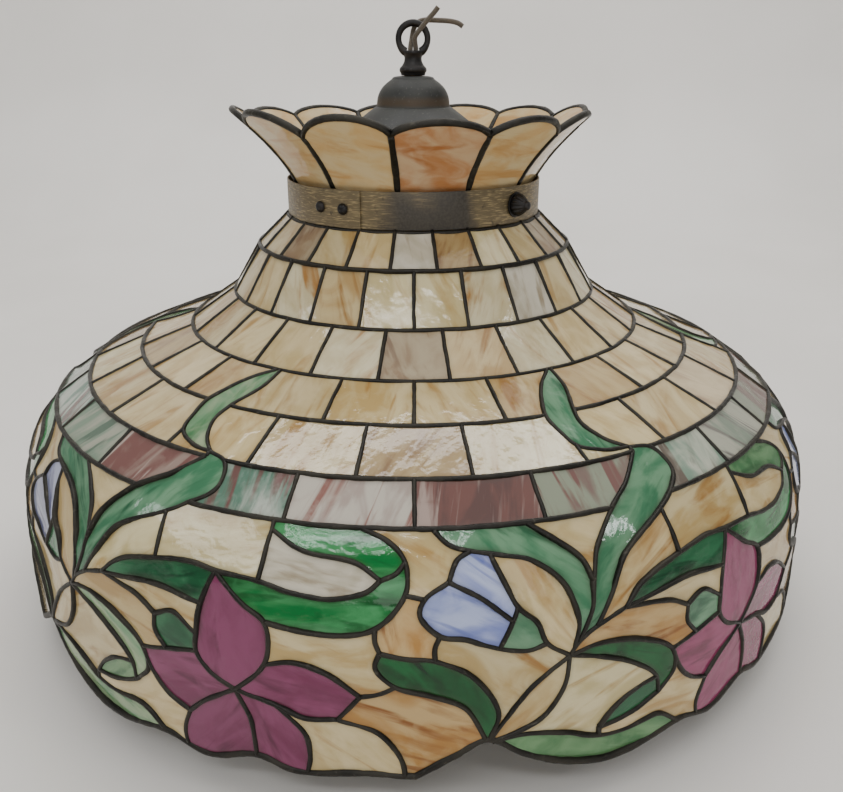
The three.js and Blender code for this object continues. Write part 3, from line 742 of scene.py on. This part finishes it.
def make_camera():
    data = bpy.data.cameras.new("camera")
    data.lens = CAMERA["lens"]
    data.sensor_width = 36
    camera = bpy.data.objects.new("camera", data)
    bpy.context.scene.collection.objects.link(camera)
    camera.location = CAMERA["place"]
    camera.rotation_euler = (math.radians(90 - CAMERA["down"]), 0, math.radians(CAMERA["turn"]))
    data.clip_start = 0.02
    bpy.context.scene.camera = camera


def make_lead(name, route):
    """A cut length of cloth-covered wire as a bevelled curve of one open spline."""
    points = smooth_line([Vector(p) * MM for p in route], 0.7 * MM)
    data = bpy.data.curves.new(name, "CURVE")
    data.dimensions = "3D"
    data.bevel_depth = LEAD_DIAMETER / 2 * MM
    data.bevel_resolution = 4
    data.use_fill_caps = True
    spline = data.splines.new("POLY")
    spline.points.add(len(points) - 1)
    spline.points.foreach_set("co", [c for p in points for c in (*p, 1)])
    spline.use_smooth = True
    data.materials.append(CLOTH)
    lead = bpy.data.objects.new(name + "_cloth", data)
    bpy.context.scene.collection.objects.link(lead)
    register(lead, [name])


make_camera()
for lead_name, lead_route in LEAD_ROUTES.items():
    make_lead(lead_name, lead_route)

# Shade

PLAN = math.radians(300)  # plan millimetres for each degree: the pattern is laid out at the skirt's radius
SKIRT_LINE = smooth_line(SKIRT, 3)
PROFILE = [Vector(p) for p in COURSES] + SKIRT_LINE[1:]
RUNS = [0.0]
for start, end in zip(PROFILE, PROFILE[1:]):
    RUNS.append(RUNS[-1] + (end - start).length)


def profile_point(run):
    """(radius, height) at a distance down the profile."""
    run = min(max(run, -6), RUNS[-1])
    i = next((k for k in range(1, len(RUNS) - 1) if RUNS[k] >= run), len(RUNS) - 1)
    return PROFILE[i - 1].lerp(PROFILE[i], (run - RUNS[i - 1]) / (RUNS[i] - RUNS[i - 1]))


def shade_frame(azimuth, run):
    """The point on the shade's outer face and the direction straight out of it."""
    point = profile_point(run)
    along = (profile_point(run + 1.5) - profile_point(run - 1.5)).normalized()
    out = polar(-along.y, azimuth, along.x) / MM
    return polar(point.x, azimuth, point.y), out


def plan_line(points, step, shift=0):
    return smooth_line([((a + shift) * PLAN, run) for a, run in points], step)


RIM_LINE = [(a, run - RIM_LIFT) for a, run in RIM]


def sector_lines():
    """Every lead line that starts in one sector, but the rings and the rim, as (azimuth, run) points."""
    lines = [[MEETINGS.get(point, point) for point in line] for line in LINES]
    for course, (top, foot) in enumerate(zip(RING_LINES, RING_LINES[1:])):
        for step in range(4):
            azimuth = TILE * (step if course % 2 else step + 0.5)
            if azimuth not in MISSING_JOINTS.get(course, []):
                lines.append([(azimuth, top - 0.3), (azimuth, foot + 0.3)])
    return lines


def pattern_net():
    """The lead lines of one sector and of both its neighbours, with points between them, triangulated.

    Returns the vertices, the triangles and the edges that are lead.
    """
    far_left, far_right, top, foot = -72, 132, -8, 400
    index_of, edges = {}, []

    def constrain(line):
        indices = [index_of.setdefault((round(x, 2), round(y, 2)), len(index_of)) for x, y in line]
        edges.extend((a, b) for a, b in zip(indices, indices[1:]) if a != b)

    for shift in (-SECTOR, 0, SECTOR):
        for line in [*sector_lines(), RIM_LINE]:
            constrain(plan_line(line, 2.6, shift))
        for ring, (start, end) in RING_SPANS.items():
            constrain(plan_line([(start, RING_LINES[ring]), (end, RING_LINES[ring])], 5, shift))
    for ring in range(4):
        constrain([(a * PLAN, RING_LINES[ring]) for a in range(far_left, far_right + 1)])
    points = [Vector(p) for p in index_of]
    spacing = 8.5
    for j in range(int((foot - top) / spacing) + 1):
        for i in range(int((far_right - far_left) * PLAN / spacing) + 1):
            stagger = 0.5 if j % 2 else 0
            points.append(Vector((far_left * PLAN + (i + stagger) * spacing, top + j * spacing + 0.17)))
    made = delaunay_2d_cdt(points, edges, [], 0, 1e-3)
    lead_edges = {frozenset(edge) for edge, source in zip(made[1], made[4]) if source}
    return made[0], made[2], lead_edges


def corner_pairs(triangle):
    return zip(triangle, triangle[1:] + triangle[:1])


def grow_regions(triangles, lead_edges):
    """Triangles gathered into regions that no lead edge crosses: the regions, and each triangle's region."""
    sharing = {}
    for index, triangle in enumerate(triangles):
        for pair in corner_pairs(triangle):
            sharing.setdefault(frozenset(pair), []).append(index)
    region_of, regions = {}, []
    for first in range(len(triangles)):
        if first in region_of:
            continue
        region_of[first] = len(regions)
        members, queue = [first], [first]
        while queue:
            for pair in corner_pairs(triangles[queue.pop()]):
                edge = frozenset(pair)
                for other in sharing[edge]:
                    if edge not in lead_edges and other not in region_of:
                        region_of[other] = len(regions)
                        members.append(other)
                        queue.append(other)
        regions.append(members)
    return regions, region_of


def pattern_regions():
    """The pieces of glass whose middle is in one sector: the seed's name, the middle and the plan mesh."""
    vertices, triangles, lead_edges = pattern_net()
    regions, region_of = grow_regions(triangles, lead_edges)

    def centre(triangle):
        return sum((vertices[i] for i in triangle), Vector((0, 0))) / 3

    def inside(point, triangle):
        signs = [a.cross(b) for a, b in corner_pairs([vertices[i] - point for i in triangle])]
        return min(signs) >= 0 or max(signs) <= 0

    names = {}
    for name, (azimuth, run) in SEEDS.items():
        for shift in (-SECTOR, 0, SECTOR):
            seed = Vector(((azimuth + shift) * PLAN, run))
            found = next((i for i, t in enumerate(triangles) if inside(seed, t)), None)
            if found is not None:
                names[region_of[found]] = name
    pieces = []
    for index, members in enumerate(regions):
        used = {i for t in members for i in triangles[t]}
        runs = [vertices[i].y for i in used]
        middle = sum((centre(triangles[t]) for t in members), Vector((0, 0))) / len(members)
        if min(runs) < -1 or max(runs) > 385 or not 0 <= middle.x < SECTOR * PLAN:
            continue
        order = {i: k for k, i in enumerate(sorted(used))}
        faces = [tuple(order[i] for i in triangles[t]) for t in members]
        pieces.append((names.get(index), middle, [vertices[i].copy() for i in order], faces))
    return pieces


class Glass(Surface):
    """Cut pieces of sheet glass in one mesh, each with its own colours and its own place on a sheet."""

    def __init__(self):
        super().__init__()
        self.tints = [[], [], []]
        self.sheet = []

    def piece(self, fronts, backs, faces, palette, chance, angle, flat=1.5):
        """One piece from matching front and back vertices. It is flattened by up to flat millimetres."""
        middle = sum(fronts, Vector()) / len(fronts)
        out = sum((f - b for f, b in zip(fronts, backs)), Vector()).normalized()
        lean = out.orthogonal().normalized()
        tilt = 0.011 * (chance.random() - 0.5) * lean + 0.011 * (chance.random() - 0.5) * out.cross(lean)
        out = (out + tilt).normalized()
        count = len(fronts)
        edges = {(a, b) for face in faces for a, b in zip(face, face[1:] + face[:1])}
        rim = [edge for edge in edges if (edge[1], edge[0]) not in edges]
        heights = [(p - middle).dot(out) for p in fronts]
        level = sum(heights[a] for a, _ in rim) / len(rim)
        moves = [out * min(max(0.85 * (level - h), -flat * MM), 0.2 * flat * MM) for h in heights]
        skin = [*faces, *(tuple(count + i for i in reversed(face)) for face in faces)]
        skin += [(b, a, count + a, count + b) for a, b in rim]
        self.add([p + m for p, m in zip(fronts, moves)] + [p + m for p, m in zip(backs, moves)], skin)
        level_axis = Vector((-out.y, out.x, 0)).normalized()
        up_axis = out.cross(level_axis)
        along = level_axis * math.cos(angle) + up_axis * math.sin(angle)
        across = out.cross(along)
        offset = Vector((chance.uniform(0, 9), chance.uniform(0, 9), chance.uniform(0, 9)))
        for p in fronts + backs:
            d = p - middle
            self.sheet.append(offset + Vector((d.dot(along), d.dot(across), 0)))
        bright = chance.uniform(0.93, 1.07)
        for tint, colour in zip(self.tints, GLASSES[palette]):
            shade = [bright * c for c in linear(colour)]
            tint += [shade] * (2 * count)

    def object(self, name, material):
        mesh = bpy.data.meshes.new(name)
        mesh.from_pydata(self.vertices, [], self.faces)
        for key, tint in zip("abc", self.tints):
            layer = mesh.attributes.new(f"tint_{key}", "FLOAT_COLOR", "POINT")
            layer.data.foreach_set("color", [c for colour in tint for c in (*colour, 1)])
        layer = mesh.attributes.new("sheet", "FLOAT_VECTOR", "POINT")
        layer.data.foreach_set("vector", [c for place in self.sheet for c in place])
        made = new_object(name, mesh, material)
        mesh.set_sharp_from_angle(angle=math.radians(40))
        return made


def inset(points, faces, amount):
    """The plan points with the outline drawn in by an amount, so that neighbouring pieces don't touch."""
    edges = {(a, b) for face in faces for a, b in zip(face, face[1:] + face[:1])}
    rim = [(a, b) for a, b in edges if (b, a) not in edges]
    pull = {}
    for a, b in rim:
        along = (points[b] - points[a]).normalized()
        left = Vector((-along.y, along.x))
        for i in (a, b):
            pull[i] = pull.get(i, Vector((0, 0))) + left
    made = [p.copy() for p in points]
    for i, direction in pull.items():
        if direction.length > 0.2:
            made[i] += direction.normalized() * amount
    return made


def long_axis(points):
    """The angle of a plan outline's longer direction."""
    middle = sum(points, Vector((0, 0))) / len(points)
    xx = sum((p.x - middle.x) ** 2 for p in points)
    yy = sum((p.y - middle.y) ** 2 for p in points)
    xy = sum((p.x - middle.x) * (p.y - middle.y) for p in points)
    return 0.5 * math.atan2(2 * xy, xx - yy)


def choose_tile(course, tiles_before, middle_azimuth, chance):
    letters, rest = TILES[course]
    if -60 < middle_azimuth < 60 and tiles_before < len(letters):
        return LETTERS[letters[tiles_before]]
    return LETTERS[chance.choice(rest)]


def tile_places(pieces):
    """For each tile's number: its course, its place along the sector and the course's count there."""
    courses = [[] for _ in range(6)]
    for number, (name, middle, _, _) in enumerate(pieces):
        course = next((k for k in range(6) if middle.y < RING_LINES[k + 1]), 6)
        if name is None and course < 6:
            courses[course].append((middle.x, number))
    places = {}
    for course, members in enumerate(courses):
        for place, (_, number) in enumerate(sorted(members)):
            places[number] = (course, place, len(members))
    return places


def floral_group(kind):
    if kind in FLOWER:
        return "flower_petals"
    if kind in FOLIAGE:
        return "leaf_glass"
    return "bud_glass" if kind in BUDS else "background_glass"


def make_shade_glass():
    groups = {}
    pieces = pattern_regions()
    places = tile_places(pieces)
    for number, (name, middle, points, faces) in enumerate(pieces):
        drawn = inset(points, faces, 0.5)
        for repeat in range(REPEATS):
            turn = SECTOR * (repeat if repeat < REPEATS / 2 else repeat - REPEATS)
            chance = random.Random(number * 61 + repeat * 7 + 5)
            fronts, backs = [], []
            for p in drawn:
                front, out = shade_frame(p.x / PLAN + turn, p.y)
                fronts.append(front)
                backs.append(front - out * GLASS * MM)
            if number in places:
                course, place, count = places[number]
                group = "border_glass_tiles" if course == 5 else f"course_{course + 1}_tiles"
                before = place + (count if turn == 0 else 0)
                palette = choose_tile(course, before, middle.x / PLAN + turn, chance)
                angle = math.radians(90 + chance.uniform(-28, 28))
            else:
                kind = name or "cream_c"
                palette = FLORAL[kind][{-SECTOR: 0, 0: 1}.get(turn, 2)]
                angle = -long_axis(points) + math.radians(chance.uniform(-12, 12))
                group = floral_group(kind)
            groups.setdefault(group, Glass()).piece(fronts, backs, faces, palette, chance, angle)
    for group, glass in groups.items():
        material, node, slot = FLORAL_GLASS, "skirt_glass", "floral_glass"
        if group.startswith("course"):
            material, node, slot = OPAL, f"glass_course_{group[7]}", "opal_glass"
        elif group == "border_glass_tiles":
            material, node, slot = BORDER, "border_glass", "border_glass"
        register(glass.object(group, material), [node])


def bead(surface, points, outs, width, depth, closed=False, seed=0.0):
    """A solder bead along a line: an oval with flattened sides, width across and depth through, that swells
    and sinks a little like hand soldering."""
    count = len(points)
    sections = []
    for i, (p, out) in enumerate(zip(points, outs)):
        after = points[(i + 1) % count if closed else min(i + 1, count - 1)]
        before = points[i - 1 if closed or i else 0]
        side = (after - before).cross(out).normalized()
        place = p * 130 + Vector((seed, 0, 0))
        wide = width / 2 * (1 + 0.2 * noise.noise(place) + 0.12 * noise.noise(place * 3))
        p = p + side * 0.35 * noise.noise(place * 0.7 + Vector((0, 5, 0))) * MM
        deep = depth / 2 * (1 + 0.07 * noise.noise(place * 2 + Vector((9, 0, 0))))
        section = []
        for k in range(10):
            a = 2 * math.pi * k / 10
            c, s = math.cos(a), math.sin(a)
            x = math.copysign(abs(c) ** 0.75, c) * wide
            y = math.copysign(abs(s) ** 0.75, s) * deep
            section.append(p + (side * x + out * y) * MM)
        sections.append(section)
    surface.tube(sections, closed)


def shade_bead(surface, plan, width, turn=0, closed=False, proud=BEAD_PROUD):
    points, outs = [], []
    for p in plan:
        front, out = shade_frame(p[0] / PLAN + turn, p[1])
        points.append(front - out * GLASS / 2 * MM)
        outs.append(out)
    bead(surface, points, outs, width, GLASS + 2 * proud, closed, turn)


def rim_run(azimuth):
    """How far down the rim's middle is at an azimuth."""
    place = azimuth % SECTOR
    for (a0, r0), (a1, r1) in zip(RIM_LINE, RIM_LINE[1:]):
        if a0 <= place <= a1:
            return r0 + (r1 - r0) * (place - a0) / (a1 - a0)
    return RIM_LINE[0][1]


def make_shade_leads():
    seams, rings, rim, neck = Surface(), Surface(), Surface(), Surface()
    full_rim = []
    for turn in range(0, 360, SECTOR):
        for line in sector_lines():
            plan = [p for p in plan_line(line, 2.2) if p[1] < rim_run(p[0] / PLAN) + 1]
            if len(plan) > 1:
                shade_bead(seams, plan, SKIRT_SEAM if line[0][1] >= SKIRT_TOP else COURSE_SEAM, turn)
        for ring, (start, end) in RING_SPANS.items():
            run = RING_LINES[ring]
            shade_bead(rings, plan_line([(start, run), (end, run)], 3.2), BROKEN_RING_BEAD, turn)
        full_rim += plan_line(RIM_LINE, 2.6, turn)[:-1]
    azimuths = range(0, 360, 3)
    for run in RING_LINES[1:4]:
        shade_bead(rings, [(a * PLAN, run) for a in azimuths], RING_BEAD, closed=True)
    shade_bead(rim, full_rim, RIM_BEAD, closed=True, proud=RIM_PROUD)
    shade_bead(neck, [(a * PLAN, 1.2) for a in azimuths], NECK_BEAD, closed=True, proud=NECK_PROUD)
    for surface, name, nodes in (
        (seams, "seam_leading", []),
        (rings, "ring_leading", [f"came_ring_{k}" for k in range(1, 7)]),
        (rim, "rim_leading", ["rim_came"]),
        (neck, "neck_leading", ["neck_came"]),
    ):
        register(surface.object(name, LEAD), nodes)


# Crown


def crown_point(petal, across, height, depth):
    """A point in the crown's glass, and the direction out of it: depth 0 is the middle of the sheet."""
    lean, curl, reach = CROWN["lean"], CROWN["curl"], CROWN["reach"]
    t = (height - CROWN["neck_height"]) / reach
    radius = CROWN["neck_radius"] + lean * t + curl * t * t
    slope = (lean + 2 * curl * t) / reach
    half = 180 / PETALS
    swell = math.sqrt(math.cos(math.radians(half)) / math.cos(math.radians(across * half)))
    azimuth = PETAL_PHASE + (petal + 0.5) * 2 * half + across * half
    out = polar(1, azimuth, -slope).normalized()
    return polar(radius * swell, azimuth, height) + out * (depth - GLASS / 2) * MM, out


def scallop(petal, across):
    """Height of a petal's top edge: an arch over the line between its two joints."""
    near, far = PETAL_JOINTS[petal], PETAL_JOINTS[(petal + 1) % PETALS]
    arch = max(0, 1 - across * across) ** 0.75
    return near + (far - near) * (across + 1) / 2 + (PETAL_TIPS[petal] - (near + far) / 2) * arch


def make_petal(petal, tone):
    """One bent sheet, from just inside one rib to just inside the next."""
    columns, rows = 14, 9
    fronts, backs = [], []
    for i in range(columns + 1):
        side = -0.96 + 1.92 * i / columns
        top = scallop(petal, side) - 1.2
        for j in range(rows + 1):
            height = CROWN["base"] + (top - CROWN["base"]) * j / rows
            fronts.append(crown_point(petal, side, height, GLASS / 2)[0])
            backs.append(crown_point(petal, side, height, -GLASS / 2)[0])
    faces = []
    for i in range(columns):
        for j in range(rows):
            a, b = i * (rows + 1) + j, (i + 1) * (rows + 1) + j
            faces.append((a, b, b + 1, a + 1))
    chance = random.Random(petal + 40)
    glass = Glass()
    angle = math.radians(chance.uniform(-35, 35))
    glass.piece(fronts, backs, faces, tone, chance, angle, flat=0)
    made = glass.object(f"petal_glass_{petal + 1:02d}", AMBER)
    register(made, [f"crown_petal_{petal + 1:02d}"])


def make_crown_leads():
    leads = Surface()
    crest, outs = [], []
    steps = 14
    for petal in range(PETALS):
        for i in range(steps):
            across = -math.cos(math.pi * i / steps)
            point, out = crown_point(petal, across, scallop(petal, across), 0)
            crest.append(point)
            outs.append(out)
    bead(leads, crest, outs, *CREST_BEAD, closed=True)
    count = 22
    foot = CROWN["base"] - 2
    for petal in range(PETALS):
        heights = [foot + (PETAL_JOINTS[petal] - foot) * i / count for i in range(count + 1)]
        line = [crown_point(petal, -1, h, 0) for h in heights]
        bead(leads, [p for p, _ in line], [o for _, o in line], *RIB_BEAD, seed=petal)
    register(leads.object("crown_leading", LEAD), ["crown_lead"])
    ring = Surface()
    turned(ring, [(89, 277), (93.4, 277), (93.4, 291.7), (86.4, 291.7), (86.4, 290.3), (89, 290.3)], 96)
    register(ring.object("crown_foot_ring", LEAD, smooth=False))


def make_crown():
    for petal in range(PETALS):
        make_petal(petal, "crown_orange" if petal == 0 else "crown")
    make_crown_leads()


# Neck


def outward(azimuth, height):
    """A placing that lays +Z along a radius of the lamp."""
    direction = polar(1, azimuth, 0) / MM
    return Matrix.Translation((0, 0, height * MM)) @ direction.to_track_quat("Z", "Y").to_matrix().to_4x4()


def keep(surface, name, material, body, node, angle=35):
    made = surface.object(name, material)
    made.data.set_sharp_from_angle(angle=math.radians(angle))
    register(made, [node], body)


def make_band():
    """The strip goes once round the neck and laps over its own start."""
    band = Surface()
    turn = 360 + BAND["lap_to"] - BAND["lap_from"]
    count = 220
    sections = []
    for i in range(count + 1):
        run = turn * i / count
        rise = min(max((run - 336) / 22, 0), 1)
        inner = BAND["inner"] + (BAND["thick"] + 0.3) * rise * rise * (3 - 2 * rise)
        wave = 0.22 * noise.noise(Vector((run * 0.09, 3, 0)))
        nick = 0.25 * noise.noise(Vector((run * 0.4, 8, 0)))
        r0, r1 = inner + wave, inner + wave + BAND["thick"]
        low, high = BAND["bottom"] + nick, BAND["top"] - nick
        corners = rounded_profile([(r0, low), (r1, low), (r1, high), (r0, high)], 0.5, 2)
        sections.append([polar(r, BAND["lap_from"] + run, h) for r, h in corners])
    band.tube(sections)
    keep(band, "neck_band_strip", BAND_BRASS, "lamp", "neck_band")
    ring = Surface()
    turned(ring, rounded_profile([(86.4, 262), (88.6, 262), (88.6, 290), (86.4, 290)], 0.5, 2), 96)
    keep(ring, "neck_support_ring", BRASS, "lamp", "neck_ring")


def hammered(angle, index):
    return 1 + 0.03 * noise.noise(Vector((angle, index, 1)))


def fluted(angle, index):
    """Flutes round the knob's grip, and none on its flange, point or shank."""
    return 1 - 0.09 * (0.5 + 0.5 * math.cos(14 * angle)) if 2 < index < 10 else 1


def make_fasteners():
    """Rivets, thumb screws and washers, each turned about a radius of the lamp."""
    seat = BAND["inner"] + 2 * BAND["thick"] + 0.6
    head = [(0, 94), (1.6, 94), (1.6, seat), (3.7, seat), (3.9, seat + 0.5), (3.6, seat + 1.4)]
    head += [(2.8, seat + 2.2), (1.5, seat + 2.75), (0, seat + 2.9)]
    for i, azimuth in enumerate(RIVETS):
        rivet = Surface()
        turned(rivet, head, 28, outward(azimuth, SCREW_HEIGHT), hammered)
        keep(rivet, f"rivet_head_{i + 1}", BLACK, "lamp", f"band_rivet_{i + 1}")
    knob = [(0, 78), (2.4, 78), (2.4, 97.1), (7.2, 97.1), (7.7, 97.6), (7.9, 98.6), (7.4, 100), (6.6, 101.6)]
    knob += [(5.4, 103.2), (4.2, 104.5), (3.3, 105.1), (3.1, 106), (2.7, 107.1), (1.6, 107.6), (0, 107.8)]
    disc = rounded_profile([(2.8, 95.6), (8.7, 95.6), (8.7, 96.8), (2.8, 96.8)], 0.5, 2)
    for side, azimuth in SCREWS.items():
        screw, washer = Surface(), Surface()
        turned(screw, knob, 112, outward(azimuth, SCREW_HEIGHT), fluted)
        keep(screw, f"fluted_knob_{side}", BLACK, f"{side}_screw", f"thumb_screw_{side}", 55)
        turned(washer, disc, 40, outward(azimuth, SCREW_HEIGHT))
        keep(washer, f"washer_{side}", BLACK, "lamp", f"screw_washer_{side}")


# Hanging hardware


def make_cap():
    collar = smooth_line([(10.6, 369.3), (13.2, 368.9), (15, 368.2), (15.6, 367.2)], 0.8)
    dome = smooth_line([(16.2, 366.8), (20, 364), (23.2, 360.8), (25.9, 355.6), (27, 349)], 1)
    cone = smooth_line([(29.4, 347), (37, 341.4), (50, 331.2), (76, 307.5), (83.2, 300)], 3)
    line = [(6.9, 369.3), *collar, *dome, (27.4, 348), (28.6, 347.6), *cone, (83.4, 297), (83.2, 291.3)]
    cap = Surface()
    turned(cap, sheet_profile(line, 1.2), 112)
    keep(cap, "spun_cap", CAP_METAL, "lamp", "cap")


def make_loop():
    """A turned foot and an open ring, cast in one: a remesh runs them together and a smooth softens them."""
    bore = LOOP["bore"]
    foot = [(6.9, 369.6), (8.7, 369.6), (9.1, 371.4), (9.9, 372.5), (10, 373.8), (9.5, 375), (7.9, 376.6)]
    foot += [(6.6, 379), (6.2, 381), (6.5, 383), (7.2, 385), (7, 386.3), (5.8, 386.8), (bore, 386.4)]
    foot += [(bore, 375.9), (6.9, 375.9)]
    loop = Surface()
    turned(loop, foot, 48)
    steps = 60
    ring, bars = [], []
    for i in range(steps + 1):
        angle = math.radians(-58 + 296 * i / steps)
        x, z = LOOP["ring"] * math.cos(angle), LOOP["ring"] * math.sin(angle)
        ring.append(Vector((x, 0, LOOP["centre"] + z)) * MM)
        crown = 0.35 * math.exp(-(((i - steps / 2) / 14) ** 2))
        root = 0.9 * math.exp(-((min(i, steps - i) / 5) ** 2))
        bars.append((LOOP["bar"] + crown + root) * MM)
    loop.tube(round_sections(ring, lambda i: bars[i], 20))
    made = loop.object("cast_loop", BLACK)
    blend = made.modifiers.new("cast", "REMESH")
    blend.mode = "VOXEL"
    blend.voxel_size = 0.42 * MM
    blend.use_smooth_shade = True
    soft = made.modifiers.new("soft", "SMOOTH")
    soft.factor = 0.5
    soft.iterations = 4
    register(made, ["hanging_loop"])


# Lamp cluster and the metal inside the neck


def make_cluster():
    pipe = Surface()
    turned(pipe, rounded_profile([(4.6, 192), (6.6, 192), (6.6, 375.6), (4.6, 375.6)], 0.4, 2), 40)
    keep(pipe, "stem_tube", BRASS, "lamp", "stem_pipe")
    body = smooth_line([(6.9, 204), (18, 203.5), (30, 200), (36.5, 194), (38, 188), (38, 172)], 2)
    shell = Surface()
    turned(shell, sheet_profile([tuple(p) for p in body], 1.5), 72)
    keep(shell, "cluster_canopy", BRASS, "lamp", "cluster_body")
    plate = [(0, 171.7), (39, 171.7), (39, 170.2), (26, 167.7), (10, 164.7), (2.5, 162.2), (4, 159.7)]
    plate += [(3, 156.7), (0, 155.7)]
    cover = Surface()
    turned(cover, plate, 72)
    keep(cover, "cluster_finial_plate", BRASS, "lamp", "cluster_cover")


def make_sockets():
    top = CLUSTER["arm_height"] - 18.3
    socket = [(3.5, top), (9, top - 1), (15.5, top - 8), (18.5, top - 13), (18.9, top - 14.5)]
    socket += [(18.5, top - 16), (18.5, top - 30), (18.9, top - 31.2), (18.5, top - 32.4)]
    socket += [(18.5, top - 56.5), (19.3, top - 58)]
    cup = [(0, top - 17.7), (16.6, top - 17.7), (16.6, top - 53.7), (14.8, top - 53.7)]
    cup += [(14.8, top - 20.7), (0, top - 20.7)]
    for i in range(3):
        azimuth = CLUSTER["first_arm"] + 120 * i
        place = Matrix.Translation(polar(CLUSTER["reach"], azimuth, 0))
        outer = Surface()
        turned(outer, sheet_profile(socket, 1.2), 48, place)
        keep(outer, f"socket_case_{i + 1}", BRASS, "lamp", f"socket_shell_{i + 1}")
        inner = Surface()
        turned(inner, cup, 48, place)
        keep(inner, f"socket_cup_{i + 1}", PORCELAIN, "lamp", f"socket_liner_{i + 1}")
        route = [(38.6, 187), (48, 187), (57, 186.6), (63.5, 184), (66.8, 179), (68, 173), (68, 169)]
        points = smooth_line([polar(r, azimuth, h) for r, h in route], 1.5 * MM)
        arm = Surface()
        arm.tube(round_sections(points, 5 * MM, 24))
        keep(arm, f"arm_tube_{i + 1}", BRASS, "lamp", f"socket_arm_{i + 1}")


def repaint_kept_nodes():
    finishes = {"crossbar": STEEL, "crossbar_nut": BRASS, "cluster_nut": BRASS}
    finishes |= {"lead_a_hidden": CLOTH, "lead_b_hidden": CLOTH}
    for name, material in finishes.items():
        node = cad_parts[name]
        node.data.materials.clear()
        node.data.materials.append(material)
        worn = node.modifiers.new("worn_edges", "BEVEL")
        worn.width = 0.5 * MM
        worn.segments = 2
        worn.limit_method = "ANGLE"


# Floor and light


def make_floor():
    """A pale floor that curves up into a backdrop behind the lamp."""
    half = 3.5
    n = Nodes("pale_floor")
    tone = n.noise(n.position(), 2.5, 3.0)
    colour = n.mix(n.span(tone, 0.3, 0.7), (226, 223, 218), (233, 230, 226))
    material = n.finish(colour, 0.55)
    curve = smooth_line([(-half, 0), (0.9, 0), (1.25, 0.06), (1.45, 0.26), (1.5, 0.6), (1.5, 2.4)], 0.12)
    sweep = Surface()
    points = [Vector((x, y, z)) for y, z in curve for x in (-half, half)]
    sweep.add(points, [(2 * i, 2 * i + 1, 2 * i + 3, 2 * i + 2) for i in range(len(curve) - 1)])
    sweep.object("floor", material)


def softbox(name, place, aim, size, power, colour):
    data = bpy.data.lights.new(name, "AREA")
    data.shape = "RECTANGLE"
    data.size, data.size_y = size
    data.energy = power
    data.color = colour
    light = bpy.data.objects.new(name, data)
    bpy.context.scene.collection.objects.link(light)
    light.location = place
    light.rotation_euler = (Vector(aim) - Vector(place)).to_track_quat("-Z", "Y").to_euler()


def make_light():
    world = bpy.data.worlds.new("studio")
    bpy.context.scene.world = world
    world.use_nodes = True
    sky = world.node_tree.nodes["Background"].inputs
    sky["Color"].default_value = (0.93, 0.93, 0.92, 1)
    sky["Strength"].default_value = 0.33
    middle, warm, cool = (0, 0, 0.2), (1, 0.97, 0.93), (0.98, 0.99, 1)
    softbox("overhead", (0.2, -0.2, 2.6), middle, (3.4, 2.4), 36, warm)
    for row in range(3):
        place = (-0.25, -1.8 - 0.1 * row, 2.2)
        softbox(f"ceiling_tube_{row + 1}", place, middle, (2.2, 0.02), 4.5, cool)
    softbox("front_fill", (0.3, -2.6, 0.9), (0, 0, 0.1), (2.6, 1.0), 16, (1, 0.99, 0.97))
    softbox("ceiling_left", (-3.4, -1.4, 2.2), middle, (2.2, 0.5), 22, cool)
    softbox("ceiling_right", (2.6, -1.4, 2.2), middle, (0.5, 0.2), 6, cool)
    softbox("backdrop_wash", (0, 0.7, 2.3), (0, 1.6, 0.7), (2.4, 0.4), 24, (1, 1, 1))


make_shade_glass()
make_shade_leads()
make_crown()
make_band()
make_fasteners()
make_cap()
make_loop()
make_cluster()
make_sockets()
repaint_kept_nodes()
make_floor()
make_light()
